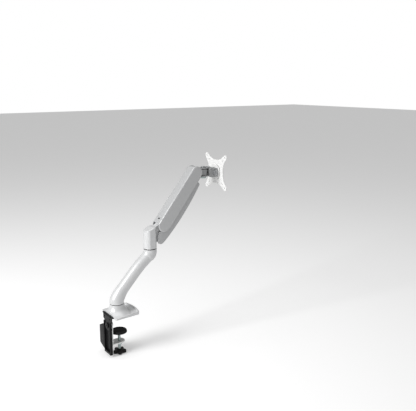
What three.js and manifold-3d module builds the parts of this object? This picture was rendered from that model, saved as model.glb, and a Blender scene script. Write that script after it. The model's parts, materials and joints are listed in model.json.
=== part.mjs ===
// Desk-clamped monitor arm: foot and clamp, swivelling lower arm, elbow, spring-balanced
// upper arm, and a swivelling, tilting head with a hole plate for a screen.
// Millimetres, +Z up. The origin is on the underside of the foot, on the axis of the foot's
// swivel. The arm points along -Y, towards the user; the clamp hangs at +Y, behind the desk.

import * as THREE from 'three';
import { mergeVertices } from 'three/addons/utils/BufferGeometryUtils.js';
import Module from 'manifold-3d';

const wasm = await Module();
wasm.setup();

// ---------------------------------------------------------------- driving dimensions

const clearance = 0.3;          // between pieces that touch or turn on each other

// Swivel axes and pivots, in the arm's side plane
const elbowReach = 121.3;       // elbow axis in front of the foot axis
const elbowHeight = 190.7;      // middle of the elbow seam above the desk
const liftReach = 42.5;         // lift pivot in front of the elbow axis
const liftRise = 70.5;          // lift pivot above the elbow seam
const linkSpacing = 40;         // lower link's pivots below the upper link's
const armLength = 199;          // upper arm, pivot to pivot
const armAngle = 51.5;          // degrees above level, as shown
const liftRange = 80;           // degrees the arm lowers from there
const headReach = 38.5;         // head swivel axis in front of the upper arm's end
const tiltReach = 32.3;         // tilt axis in front of the head swivel axis
const tiltDrop = 4.2;           // tilt axis below the upper arm's end pivot
const plateReach = 16.9;        // rear face of the hole plate in front of the tilt axis

// Foot
const footRear = 28.8;          // rear edge behind the axis
const footFront = 61;           // front edge before the axis
const footRearHalf = 50.5;
const footFrontHalf = 45;
const footCorner = 14;
const footLift = 0.5;           // rim's underside above the desk
const footRearEdge = 5;         // height of the rim at the rear
const footFrontEdge = 12.5;     // and at the front
const footLip = 6;              // width of the lip around the sunk top
const footSink = 2.4;           // depth of the sunk top
const padThickness = 2;
const collarRadius = 22;
const seamHeight = 35.5;        // middle of the foot's seam above the desk
const ringThickness = 1.8;      // swivel rings in both seams
const postRadius = 9.5;
const bushWall = 2.4;
const postDepth = 20;           // post above the seam

// Clamp
const bracketThickness = 3.4;
const bracketHalf = 35;
const apronHalf = 28.5;
const apronBottom = -14;
const legHalf = 16.5;
const legBottom = -45.5;
const channelHalf = 21;
const channelDepth = 10;
const channelWall = 2.8;
const channelTop = -17;
const channelBottom = -122;
const columnFront = 27.8;       // front face of the channel's web
const boltDrop = 29;            // column bolt below the desk top
const guideWidth = 30;          // cable guide beside the channel
const guideTop = -33;
const guideBottom = -113;
const slitStart = 12;           // slit in the guide's front, from its inner side
const slitEnd = 17;
const jawHalf = 17;
const jawLegHalf = 15;
const jawThickness = 4.5;
const jawTop = -88;
const jawLegTop = -19;
const screwBack = 4;            // clamp screw behind the foot axis
const screwRadius = 4.3;
const screwEnd = -126;
const clampThroat = 53.6;       // desk underside stands this far below the foot
const padRadius = 25;
const padHeight = 11.8;
const knobRadius = 12;
const knobLobes = 5;
const knobLobeRadius = 6.2;
const knobReach = 15;         // lobe centres from the screw's axis
const knobTop = -116;
const knobHeight = 14;

// Lower arm and elbow
const tubeRadius = 17.6;
const elbowRadius = 20.8;
const tongueHalf = 10.3;
const tongueSlotHalf = 5.4;
const humpRadius = 16.6;        // knuckle tongue around the lift pivot
const linkBossRadius = 11;
const spacerRadius = 7;         // spacers on the lower link's pins
const spacerGap = 1.9;          // between them and the upper link, arm raised
const liftPinRadius = 5;
const linkPinRadius = 4;

// Upper arm
const sideGap = 0.4;            // between each link and what it folds over
const coverWall = 2.3;
const coverTop = 3.1;
const coverDepth = 20.5;        // from the pivot line to the top and to the lower edge
const coverRearRadius = 20.8;
const coverFrontRadius = 22;
const linkWall = 3.5;
const linkHalf = tongueHalf + sideGap + linkWall;
const lowerWall = 3.2;
const lowerHalf = linkHalf + sideGap + lowerWall;
const coverHalf = lowerHalf + sideGap + coverWall;
const lowerDepth = 15.5;        // deepest point of the lower link below its pivot line
const lowerRise = 18;           // its side walls above the pivot line

// Gas spring
const anchorForward = 4;        // spring anchor in front of the lift pivot
const anchorDrop = 17;        // and below it
const springPinAlong = 155;     // spring pin on the upper link, along the arm
const springPinDrop = 6;
const cylinderRadius = 10;
const cylinderWall = 2.8;
const cylinderLength = 110;
const rodRadius = 4;
const rodEyeRadius = 7.2;
const rodLength = 95;
const springPinRadius = 3;
const springPlay = 3.1;         // oversize of the hole in the cylinder's front lug
const springLug = 9.4;          // radius of that lug

// Head
const barrelRadius = 13;
const barrelHeight = 17.2;
const earThickness = 4.8;
const washerThickness = 1;
const hubRadius = 11;
const hubHalf = 12;
const cheekInner = 13.3;
const cheekOuter = 20.5;
const cheekHeight = 31;
const cheekRear = 20.5;         // behind the tilt axis
const tiltBoltRadius = 4;
const discRadius = 25.5;
const discThickness = 3.6;
const plateThickness = 3.2;
const plateTip = 8.5;           // radius of the plate's four tips
const holeSpacingSmall = 75;
const holeSpacingLarge = 100;
const holeRadius = 2.4;
const plateNotch = 39;          // plate's half width between its tips

// ---------------------------------------------------------------- finishes

const finish = (color, roughness, metalness) =>
  new THREE.MeshStandardMaterial({ color, roughness, metalness });
const silver = finish(0xd9dbdc, 0.42, 0.35);
const headGrey = finish(0xa9abac, 0.45, 0.4);
const plateWhite = finish(0xf0f0ee, 0.45, 0.1);
const blackSteel = finish(0x1c1c1d, 0.38, 0.3);
const blackPlastic = finish(0x141415, 0.55, 0);
const zinc = finish(0xa9b8b6, 0.3, 0.9);
const steel = finish(0x8f9294, 0.35, 0.9);
const nylon = finish(0x3a3b3d, 0.6, 0);
const rubber = finish(0x222324, 0.9, 0);

// ---------------------------------------------------------------- solids

const toSolid = (geometry) => {
  const bare = geometry.index ? geometry.clone() : geometry;
  bare.deleteAttribute('normal');
  bare.deleteAttribute('uv');
  const welded = mergeVertices(bare, 1e-4);
  const mesh = new wasm.Mesh({
    numProp: 3,
    vertProperties: Float32Array.from(welded.attributes.position.array),
    triVerts: Uint32Array.from(welded.index.array),
  });
  mesh.merge();
  return new wasm.Manifold(mesh);
};

const toGeometry = (solid) => {
  const mesh = solid.getMesh();
  const geometry = new THREE.BufferGeometry();
  geometry.setAttribute('position', new THREE.BufferAttribute(Float32Array.from(mesh.vertProperties), 3));
  geometry.setIndex(new THREE.BufferAttribute(Uint32Array.from(mesh.triVerts), 1));
  geometry.computeVertexNormals();
  return geometry;
};

const join = (...solids) => solids.reduce((whole, solid) => whole.add(solid));
const cut = (solid, ...tools) => tools.reduce((whole, tool) => whole.subtract(tool), solid);

const box = (x0, x1, y0, y1, z0, z1) => toSolid(
  new THREE.BoxGeometry(x1 - x0, y1 - y0, z1 - z0)
    .translate((x0 + x1) / 2, (y0 + y1) / 2, (z0 + z1) / 2));

// Round bars along each axis, from one coordinate to the other
const barZ = (radius, x, y, z0, z1, sides = 18) => toSolid(
  new THREE.CylinderGeometry(radius, radius, z1 - z0, sides)
    .rotateX(Math.PI / 2).translate(x, y, (z0 + z1) / 2));
const barX = (radius, x0, x1, y, z, sides = 18) => toSolid(
  new THREE.CylinderGeometry(radius, radius, x1 - x0, sides)
    .rotateZ(-Math.PI / 2).translate((x0 + x1) / 2, y, z));
const barY = (radius, x, y0, y1, z, sides = 18) => toSolid(
  new THREE.CylinderGeometry(radius, radius, y1 - y0, sides)
    .translate(x, (y0 + y1) / 2, z));

const turned = (points, sides = 28) => toSolid(
  new THREE.LatheGeometry(points.map(([r, z]) => new THREE.Vector2(r, z)), sides).rotateX(Math.PI / 2));

const extrude = (shape, depth, curveSegments = 6) => new THREE.ExtrudeGeometry(
  shape, { depth, bevelEnabled: false, curveSegments });

// A side profile drawn in (y, z), made solid from x0 to x1
const sidePlate = (shape, x0, x1, curveSegments) => toSolid(extrude(shape, x1 - x0, curveSegments)
  .applyMatrix4(new THREE.Matrix4().makeBasis(
    new THREE.Vector3(0, 1, 0), new THREE.Vector3(0, 0, 1), new THREE.Vector3(1, 0, 0)))
  .translate(x0, 0, 0));
// A plan drawn in (x, y), made solid from z0 to z1
const floorPlate = (shape, z0, z1, curveSegments) => toSolid(
  extrude(shape, z1 - z0, curveSegments).translate(0, 0, z0));
// A front view drawn in (x, z), made solid from y1 back to y0
const frontPlate = (shape, y0, y1, curveSegments) => toSolid(extrude(shape, y1 - y0, curveSegments)
  .applyMatrix4(new THREE.Matrix4().makeBasis(
    new THREE.Vector3(1, 0, 0), new THREE.Vector3(0, 0, 1), new THREE.Vector3(0, -1, 0)))
  .translate(0, y1, 0));

const polygon = (points) => {
  const shape = new THREE.Shape();
  points.forEach(([u, v], i) => (i ? shape.lineTo(u, v) : shape.moveTo(u, v)));
  shape.closePath();
  return shape;
};

// A polygon whose corners are rounded: each point is [u, v, radius]
const rounded = (points) => {
  const shape = new THREE.Shape();
  const count = points.length;
  points.forEach(([u, v, radius = 0], i) => {
    const corner = new THREE.Vector2(u, v);
    const toward = (j) => {
      const other = new THREE.Vector2(points[j][0], points[j][1]);
      const length = Math.min(radius, corner.distanceTo(other) * 0.49);
      return other.sub(corner).setLength(length).add(corner);
    };
    const start = toward((i + count - 1) % count);
    const end = toward((i + 1) % count);
    if (i) shape.lineTo(start.x, start.y);
    else shape.moveTo(start.x, start.y);
    if (radius) shape.quadraticCurveTo(u, v, end.x, end.y);
  });
  shape.closePath();
  return shape;
};

const arm = new THREE.Group();
const addPiece = (parent, name, solid, material) => {
  const mesh = new THREE.Mesh(toGeometry(solid), material);
  mesh.name = name;
  parent.add(mesh);
};
const sides = [['left', -1], ['right', 1]];
const between = (side, inner, outer) => (side < 0 ? [-outer, -inner] : [inner, outer]);

// ---------------------------------------------------------------- places worked out

const angle = THREE.MathUtils.degToRad(armAngle);
const elbowY = -elbowReach;
const liftY = elbowY - liftReach;
const liftZ = elbowHeight + liftRise;
const linkZ = liftZ - linkSpacing;
const linkGap = linkSpacing * Math.cos(angle);   // between the two links' pivot lines, arm raised
const linkDepth = linkGap - spacerRadius - spacerGap;
const endY = liftY - armLength * Math.cos(angle);
const endZ = liftZ + armLength * Math.sin(angle);
const swivelY = endY - headReach;
const tiltY = swivelY - tiltReach;
const tiltZ = endZ - tiltDrop;
const plateY = tiltY - plateReach;
const bushOuter = postRadius + clearance + bushWall;

// ---------------------------------------------------------------- foot

const footOutline = (inset) => rounded([
  [-footRearHalf + inset, footRear - inset, 4],
  [-footFrontHalf + inset, -footFront + footCorner * 0.4 + inset, footCorner],
  [0, -footFront + inset, footFrontHalf],
  [footFrontHalf - inset, -footFront + footCorner * 0.4 + inset, footCorner],
  [footRearHalf - inset, footRear - inset, 4],
]);

{
  const seamBottom = seamHeight - ringThickness / 2 - clearance;
  const flangeTop = padThickness + clearance + bracketThickness;
  // The rim's top slopes up from the rear to the front; behind its lip the top is sunk
  const slope = (drop) => sidePlate(polygon([
    [footRear + 1, footLift], [footRear + 1, footRearEdge - drop],
    [-footFront - 1, footFrontEdge - drop], [-footFront - 1, footLift],
  ]), -footRearHalf - 1, footRearHalf + 1);
  const outline = floorPlate(footOutline(0), footLift, seamBottom);
  const lip = slope(0).intersect(outline).subtract(floorPlate(footOutline(footLip), 0, seamBottom));
  const sunk = slope(footSink).intersect(outline);
  const neck = turned([
    [0, footLift], [70, footLift], [70, 4.6], [58, 5.4], [45, 8.2], [35, 12.2], [28.5, 17.2],
    [24.5, 23.2], [collarRadius, 30], [collarRadius, seamBottom], [0, seamBottom],
  ]).intersect(outline);
  const cover = cut(join(lip, sunk, neck),
    floorPlate(footOutline(2.7), 0, padThickness + clearance),
    box(-bracketHalf - clearance, bracketHalf + clearance, -24, footRear + 1, 0, flangeTop + clearance),
    barZ(postRadius + 6.5 + clearance, 0, 0, 0, flangeTop + 4 + 2 * clearance),
    barZ(postRadius + clearance, 0, 0, 0, seamHeight + 5),
    ...sides.map(([, side]) => barZ(2.4 + clearance, side * 27, -12, 0, flangeTop + 5, 12)));
  addPiece(arm, 'base_cover', cover, silver);
  addPiece(arm, 'base_pad', floorPlate(footOutline(3), 0, padThickness), rubber);

  const postTop = seamHeight + postDepth;
  addPiece(arm, 'base_post', join(
    barZ(postRadius + 6.5, 0, 0, flangeTop + clearance, flangeTop + clearance + 4),
    barZ(postRadius, 0, 0, flangeTop + clearance, postTop)), steel);

  for (const [label, side] of sides) {
    addPiece(arm, `flange_screw_${label}`, join(
      barZ(4.8, side * 27, -12, padThickness + 0.5, flangeTop - 0.6, 12),
      barZ(2.4, side * 27, -12, flangeTop - 0.6, flangeTop + 2.2, 12)), zinc);
  }

  addPiece(arm, 'base_swivel_ring', cut(
    barZ(collarRadius - 1.2, 0, 0, seamHeight - ringThickness / 2, seamHeight + ringThickness / 2, 32),
    barZ(postRadius + 2, 0, 0, 0, seamHeight + 5)), nylon);

  // Bracket: a flange let in under the foot, bent down behind the desk into a round-ended leg
  const legFront = columnFront + channelWall + clearance;
  const legRear = legFront + bracketThickness;
  const flange = floorPlate(rounded([
    [-bracketHalf, -23.6, 3], [bracketHalf, -23.6, 3], [bracketHalf, legRear, 4], [-bracketHalf, legRear, 4],
  ]), flangeTop - bracketThickness, flangeTop);
  const leg = frontPlate(rounded([
    [-apronHalf, flangeTop, 0], [-apronHalf, apronBottom, 7], [-legHalf, apronBottom - 3, 3],
    [-legHalf, legBottom, legHalf * 0.95], [legHalf, legBottom, legHalf * 0.95],
    [legHalf, apronBottom - 3, 3], [apronHalf, apronBottom, 7], [apronHalf, flangeTop, 0],
  ]), legFront, legRear);
  addPiece(arm, 'clamp_bracket', cut(join(flange, leg),
    barZ(3.2, 0, -8, 0, flangeTop + 1, 12),
    ...sides.map(([, side]) => barZ(4.8 + clearance, side * 27, -12, 0, flangeTop + 1, 12)),
    ...sides.map(([, side]) => barY(2.6, side * 18.6, legFront - 1, legRear + 1, -4, 12)),
    barY(4.3, 0, legFront - 1, legRear + 1, -boltDrop)), blackSteel);

  // Channel: a U section open to the rear, closed at the bottom
  const channelRear = columnFront + channelDepth;
  const chamfer = 9;
  const channelBlock = sidePlate(rounded([
    [columnFront, channelBottom + chamfer, 2], [columnFront, channelTop, 1],
    [channelRear, channelTop - 3, 1], [channelRear, channelBottom, 1],
    [channelRear - 3, channelBottom, 1],
  ]), -channelHalf, channelHalf);
  addPiece(arm, 'clamp_channel', cut(channelBlock,
    box(-channelHalf + channelWall, channelHalf - channelWall, columnFront + channelWall, channelRear + 5,
      channelBottom + chamfer + 1, channelTop + 5),
    barY(4.3, 0, columnFront - 1, columnFront + channelWall + 1, -boltDrop, 12),
    ...[1, 2].map((step) => barY(4.3, 0, columnFront - 1, columnFront + channelWall + 1,
      -boltDrop - 22 * step, 12))), blackSteel);

  // Lower jaw: an angle bolted to the channel, its round-ended tab under the desk
  const jawLegFront = columnFront - clearance - jawThickness;
  const tab = floorPlate(rounded([
    [-jawHalf, columnFront - clearance, 0], [-jawHalf, -jawHalf + screwBack, jawHalf * 0.9],
    [jawHalf, -jawHalf + screwBack, jawHalf * 0.9], [jawHalf, columnFront - clearance, 0],
  ].map(([x, y, r]) => [x, y - (r ? 2 * screwBack : 0), r])), jawTop - jawThickness, jawTop);
  const jawLeg = box(
    -jawLegHalf, jawLegHalf, jawLegFront, columnFront - clearance, jawTop - jawThickness, jawLegTop);
  addPiece(arm, 'clamp_jaw', cut(join(tab, jawLeg),
    barZ(screwRadius + clearance, 0, -screwBack, jawTop - 10, jawTop + 1),
    barY(4.3, 0, jawLegFront - 1, columnFront + 1, -boltDrop, 12)), zinc);
  addPiece(arm, 'jaw_nut', cut(
    barZ(8.5, 0, -screwBack, jawTop - jawThickness - clearance - 8, jawTop - jawThickness - clearance, 6),
    barZ(screwRadius + clearance, 0, -screwBack, jawTop - 30, jawTop)), zinc);

  addPiece(arm, 'column_bolt', join(
    barY(8.5, 0, legRear + clearance, legRear + clearance + 3.2, -boltDrop),
    barY(4, 0, jawLegFront - clearance - 5, legRear + clearance + 1, -boltDrop, 12)), blackSteel);
  addPiece(arm, 'column_nut', cut(
    barY(7.5, 0, jawLegFront - clearance - 4.5, jawLegFront - clearance, -boltDrop, 6),
    barY(4 + clearance, 0, 0, columnFront, -boltDrop, 12)), blackSteel);

  // Cable guide: a plastic channel clipped to the far flange, open above and below
  const guideX = channelHalf + clearance;
  const guideWall = 2.5;
  const guideMiddle = guideX + guideWidth * 0.45;
  const guideEnd = guideX + guideWidth;
  const guideBlock = frontPlate(polygon([
    [guideX, guideTop], [guideX, guideBottom], [guideMiddle, guideBottom + 4],
    [guideEnd, guideBottom + 11], [guideEnd, guideTop - 10],
  ]), columnFront - 4, channelRear);
  const guideHollow = frontPlate(polygon([
    [guideX + guideWall, guideTop + 5], [guideX + guideWall, guideBottom - 5],
    [guideMiddle, guideBottom - 5], [guideMiddle, guideBottom + 4 + guideWall],
    [guideEnd - guideWall, guideBottom + 11 + guideWall], [guideEnd - guideWall, guideTop + 5],
  ]), columnFront - 4 + guideWall, channelRear - guideWall);
  addPiece(arm, 'cable_guide', cut(guideBlock, guideHollow,
    box(guideX + slitStart, guideX + slitEnd, columnFront - 10, columnFront,
      guideBottom - 10, guideTop + 10)), blackPlastic);
}

// ---------------------------------------------------------------- clamp screw and pad

{
  const padTop = -clampThroat;
  const padBottom = padTop - padHeight;
  const rubberThickness = 3;
  addPiece(arm, 'pad_rubber', turned([
    [0, padTop - rubberThickness], [padRadius - 1, padTop - rubberThickness], [padRadius - 1, padTop - 1.2],
    [padRadius - 2.2, padTop], [0, padTop],
  ], 32).translate([0, -screwBack, 0]), rubber);
  addPiece(arm, 'clamp_pad', cut(turned([
    [0, padBottom], [padRadius - 5, padBottom], [padRadius, padBottom + 4],
    [padRadius, padTop - rubberThickness - clearance], [0, padTop - rubberThickness - clearance],
  ], 32).translate([0, -screwBack, 0]),
  barZ(screwRadius + clearance, 0, -screwBack, padBottom - 1, padBottom + 7)), blackPlastic);

  addPiece(arm, 'clamp_screw', barZ(screwRadius, 0, -screwBack, screwEnd, padBottom + 6), zinc);
  const hub = barZ(knobRadius, 0, -screwBack, knobTop - knobHeight + 2, knobTop);
  const lobes = Array.from({ length: knobLobes }, (_, i) => {
    const turn = (i / knobLobes) * 2 * Math.PI - 0.96;
    return barZ(knobLobeRadius, knobReach * Math.cos(turn), knobReach * Math.sin(turn) - screwBack,
      knobTop - knobHeight, knobTop - 2.5, 14);
  });
  addPiece(arm, 'clamp_knob', cut(join(hub, ...lobes),
    barZ(screwRadius + clearance, 0, -screwBack, screwEnd - clearance, knobTop + 1)), blackPlastic);
}

// ---------------------------------------------------------------- lower arm

{
  const bottom = seamHeight + ringThickness / 2 + clearance;
  const top = elbowHeight - ringThickness / 2 - clearance;
  const path = new THREE.CatmullRomCurve3([
    [0, bottom], [0, bottom + 10], [-10, bottom + 26], [-27, bottom + 44],
    [elbowY + 44, top - 56], [elbowY + 18, top - 31], [elbowY + 2, top - 15], [elbowY, top],
  ].map(([y, z]) => new THREE.Vector3(0, y, z)), false, 'centripetal');
  const steps = 18;
  const around = 24;
  const radiusAt = (t) => {
    const low = THREE.MathUtils.smoothstep(t, 0.05, 0.3);
    const high = THREE.MathUtils.smoothstep(t, 0.72, 0.93);
    const lower = THREE.MathUtils.lerp(collarRadius, tubeRadius, low);
    return THREE.MathUtils.lerp(lower, elbowRadius, high);
  };
  const positions = [];
  const faces = [];
  for (let i = 0; i <= steps; i += 1) {
    const t = i / steps;
    const centre = path.getPointAt(t);
    const along = path.getTangentAt(t);
    if (i === 0 || i === steps) along.set(0, 0, 1);
    const normal = new THREE.Vector3(1, 0, 0).cross(along).normalize();
    for (let j = 0; j < around; j += 1) {
      const turn = (j / around) * 2 * Math.PI;
      const reach = radiusAt(t);
      positions.push(
        centre.x + reach * Math.cos(turn),
        centre.y + reach * Math.sin(turn) * -normal.y,
        centre.z + reach * Math.sin(turn) * -normal.z);
      if (i < steps) {
        const next = (j + 1) % around;
        faces.push(i * around + j, i * around + next, (i + 1) * around + next);
        faces.push(i * around + j, (i + 1) * around + next, (i + 1) * around + j);
      }
    }
  }
  const closeEnd = (ring, z, y, flip) => {
    const centre = positions.length / 3;
    positions.push(0, y, z);
    for (let j = 0; j < around; j += 1) {
      const a = ring * around + j;
      const b = ring * around + ((j + 1) % around);
      faces.push(centre, flip ? b : a, flip ? a : b);
    }
  };
  closeEnd(0, bottom, 0, true);
  closeEnd(steps, top, elbowY, false);
  const sweep = new THREE.BufferGeometry();
  sweep.setAttribute('position', new THREE.Float32BufferAttribute(positions, 3));
  sweep.setIndex(faces);

  const socketDepth = postDepth - ringThickness / 2;
  addPiece(arm, 'lower_arm', cut(toSolid(sweep),
    barZ(bushOuter + clearance, 0, 0, bottom - 1, bottom + socketDepth),
    barZ(bushOuter + clearance, 0, elbowY, top - postDepth, top + 1)), silver);
  addPiece(arm, 'base_bush', cut(
    barZ(bushOuter, 0, 0, bottom + clearance, bottom + socketDepth - clearance),
    barZ(postRadius + clearance, 0, 0, 0, bottom + socketDepth)), nylon);
  addPiece(arm, 'elbow_bush', cut(
    barZ(bushOuter, 0, elbowY, top - postDepth + clearance, top - clearance),
    barZ(postRadius + clearance, 0, elbowY, top - postDepth, top)), nylon);
}

// ---------------------------------------------------------------- elbow

// Direction of the tension screw, from the spring anchor to the hole in the cover
const screwHoleAlong = 12;
const anchorY = liftY - anchorForward;
const anchorZ = liftZ - anchorDrop;
const screwHoleY = liftY - screwHoleAlong * Math.cos(angle) + coverDepth * Math.sin(angle);
const screwHoleZ = liftZ + screwHoleAlong * Math.sin(angle) + coverDepth * Math.cos(angle);
const screwLean = Math.atan2(screwHoleY - anchorY, screwHoleZ - anchorZ);
const tensionBar = (radius, from, to, count = 12) => toSolid(
  new THREE.CylinderGeometry(radius, radius, to - from, count)
    .rotateX(Math.PI / 2).translate(0, 0, (from + to) / 2)
    .rotateX(-screwLean).translate(0, anchorY, anchorZ));

{
  const bottom = elbowHeight + ringThickness / 2 + clearance;
  const top = liftZ;
  const body = barZ(elbowRadius, 0, elbowY, bottom, top + 10, 32).intersect(sidePlate(rounded([
    [elbowY + elbowRadius + 1, bottom, 0], [elbowY + elbowRadius + 1, top - 15, 3],
    [elbowY + 14, top - 8.6, 3], [elbowY - 3, top - 0.6, 5], [elbowY - 17, top + 0.4, 4],
    [elbowY - elbowRadius - 1, top - 7, 2], [elbowY - elbowRadius - 1, bottom, 0],
  ]), -elbowRadius - 1, elbowRadius + 1));
  const slab = sidePlate(polygon([
    [elbowY, linkZ - linkBossRadius], [liftY, linkZ - linkBossRadius],
    [liftY - linkBossRadius * 0.7, linkZ], [liftY - humpRadius * 0.7, liftZ],
    [liftY + humpRadius * 0.94, liftZ + humpRadius * 0.34], [elbowY - 15, top - 0.4], [elbowY, top - 6],
  ]), -tongueHalf, tongueHalf);
  const bosses = join(
    barX(humpRadius, -tongueHalf, tongueHalf, liftY, liftZ, 32),
    barX(linkBossRadius, -tongueHalf, tongueHalf, liftY, linkZ, 32));
  // Slot for the gas spring's rod, over the whole swing of the arm
  const slotReach = 60;
  const slotSide = rodRadius + 0.9;
  const along = (degrees, side) => {
    const turn = THREE.MathUtils.degToRad(degrees);
    const [dy, dz] = [-Math.cos(turn), Math.sin(turn)];
    return [[anchorY - dz * side, anchorZ + dy * side],
      [anchorY + dy * slotReach - dz * side, anchorZ + dz * slotReach + dy * side]];
  };
  const [lowNear, lowFar] = along(armAngle - liftRange - 3, slotSide);
  const [highNear, highFar] = along(armAngle + 3, -slotSide);
  const slot = join(
    barX(rodEyeRadius + 0.8, -tongueSlotHalf, tongueSlotHalf, anchorY, anchorZ, 32),
    sidePlate(polygon([highNear, highFar, [highFar[0] - 30, anchorZ], lowFar, lowNear]),
      -tongueSlotHalf, tongueSlotHalf));
  addPiece(arm, 'elbow_knuckle', cut(join(body, slab, bosses),
    barZ(postRadius + clearance, 0, elbowY, bottom - 1, bottom + 24),
    slot,
    tensionBar(3 + clearance, 5, 60),
    tensionBar(5 + clearance, anchorDrop + 5, 60),
    ...sides.map(([, side]) => barX(liftPinRadius + clearance,
      ...between(side, tongueSlotHalf + 0.4, tongueHalf + 1), liftY, liftZ)),
    barX(linkPinRadius + clearance, -30, 30, liftY, linkZ),
    barX(springPinRadius + clearance, -30, 30, anchorY, anchorZ, 12)), silver);

  addPiece(arm, 'elbow_swivel_ring', cut(
    barZ(elbowRadius - 1.2, 0, elbowY, elbowHeight - ringThickness / 2, elbowHeight + ringThickness / 2, 32),
    barZ(postRadius + clearance, 0, elbowY, 0, liftZ)), nylon);
  addPiece(arm, 'elbow_post', barZ(postRadius, 0, elbowY, elbowHeight - postDepth, bottom + 23), steel);

  for (const [label, side] of sides) {
    addPiece(arm, `lift_pin_${label}`, barX(liftPinRadius,
      ...between(side, tongueSlotHalf + 0.4 + clearance, linkHalf - 0.2), liftY, liftZ), steel);
    addPiece(arm, `rear_spacer_${label}`, cut(
      barX(spacerRadius,
        ...between(side, tongueHalf + clearance, lowerHalf - lowerWall - clearance), liftY, linkZ),
      barX(linkPinRadius + clearance, -30, 30, liftY, linkZ)), nylon);
  }
  addPiece(arm, 'rear_link_pin', barX(linkPinRadius, -lowerHalf + 0.2, lowerHalf - 0.2, liftY, linkZ), steel);
  addPiece(arm, 'spring_anchor',
    barX(springPinRadius, -tongueHalf + 0.2, tongueHalf - 0.2, anchorY, anchorZ, 12), steel);
  addPiece(arm, 'tension_screw', cut(join(
    tensionBar(3, 12, anchorDrop + 6), tensionBar(5, anchorDrop + 5 + clearance, anchorDrop + 10)),
  tensionBar(2.4, anchorDrop + 7, anchorDrop + 20, 6)), zinc);
}

// ---------------------------------------------------------------- upper arm

// The upper arm's pieces are drawn level, pointing along -Y from the lift pivot at (0, 0),
// then the group is turned up to the arm's angle.
const upper = new THREE.Group();
upper.position.set(0, liftY, liftZ);
upper.rotation.x = -angle;
arm.add(upper);

{
  const frontY = -armLength;
  // Inner link: two walls and a top plate, open below
  const outline = new THREE.Shape();
  outline.moveTo(0, linkDepth);
  outline.lineTo(frontY, linkDepth);
  outline.absarc(frontY, 0, linkDepth, Math.PI / 2, Math.PI * 1.5, false);
  outline.lineTo(0, -linkDepth);
  outline.absarc(0, 0, linkDepth, -Math.PI / 2, Math.PI / 2, false);
  const inner = linkHalf - linkWall;
  addPiece(upper, 'upper_link', cut(
    sidePlate(outline, -linkHalf, linkHalf, 7),
    box(-inner, inner, frontY - 30, 30, -30, linkDepth - 3),
    box(-inner, inner, -20, 30, -30, 30),
    box(-inner, inner, frontY - 30, frontY + 20, -30, 30),
    barX(liftPinRadius + clearance, -30, 30, 0, 0),
    barX(liftPinRadius + clearance, -30, 30, frontY, 0),
    barX(springPinRadius + clearance, -30, 30, -springPinAlong, -springPinDrop, 12),
    ...[-42, frontY + 36].map((y) => barZ(2 + clearance, 0, y, 0, 30, 12))), steel);
  addPiece(upper, 'front_lift_pin', barX(liftPinRadius, -linkHalf + 0.2, linkHalf - 0.2, frontY, 0), steel);
  addPiece(upper, 'spring_pin', barX(springPinRadius, -linkHalf + 0.2, linkHalf - 0.2,
    -springPinAlong, -springPinDrop, 12), steel);

  // Outer cover: an inverted U with rounded ends
  const frontDrop = Math.sqrt(coverFrontRadius ** 2 - coverDepth ** 2);
  const rearDrop = Math.sqrt(coverRearRadius ** 2 - coverDepth ** 2);
  const skin = new THREE.Shape();
  skin.moveTo(rearDrop, coverDepth);
  skin.lineTo(frontY - frontDrop, coverDepth);
  const frontTurn = Math.asin(coverDepth / coverFrontRadius);
  skin.absarc(frontY, 0, coverFrontRadius, Math.PI - frontTurn, Math.PI + frontTurn, false);
  skin.lineTo(rearDrop, -coverDepth);
  const rearTurn = Math.asin(coverDepth / coverRearRadius);
  skin.absarc(0, 0, coverRearRadius, -rearTurn, rearTurn, false);
  const edge = 4;
  const block = sidePlate(skin, -coverHalf, coverHalf, 8).intersect(frontPlate(rounded([
    [-coverHalf, -coverDepth - 5, 0], [-coverHalf, coverDepth, edge],
    [coverHalf, coverDepth, edge], [coverHalf, -coverDepth - 5, 0],
  ]), frontY - 40, 40, 5));
  const hollow = coverHalf - coverWall;
  const frontLip = 13;
  const rearLip = 4.5;
  addPiece(upper, 'upper_arm_cover', cut(block,
    box(-hollow, hollow, frontY - frontLip, rearLip, -30, coverDepth - coverTop),
    box(-hollow, hollow, rearLip - 1, 40, -30, 30),
    box(-hollow, hollow, frontY - 40, frontY - frontLip + 1, -30, 30),
    box(-4.5, 4.5, -screwHoleAlong - 2.5, -screwHoleAlong + 2.5, 0, 30),
    ...[-42, frontY + 36].map((y) => barZ(2 + clearance, 0, y, 0, coverDepth - 1.2, 12))), silver);
  [['rear', -42], ['front', frontY + 36]].forEach(([label, y]) => {
    addPiece(upper, `cover_screw_${label}`, join(
      barZ(3.6, 0, y, linkDepth - 3 - clearance - 2, linkDepth - 3 - clearance, 12),
      barZ(2, 0, y, linkDepth - 4, coverDepth - 1.5, 12)), zinc);
  });
}

// Lower link, drawn level about its own rear pivot
const lower = new THREE.Group();
lower.position.set(0, liftY, linkZ);
lower.rotation.x = -angle;
arm.add(lower);

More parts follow.
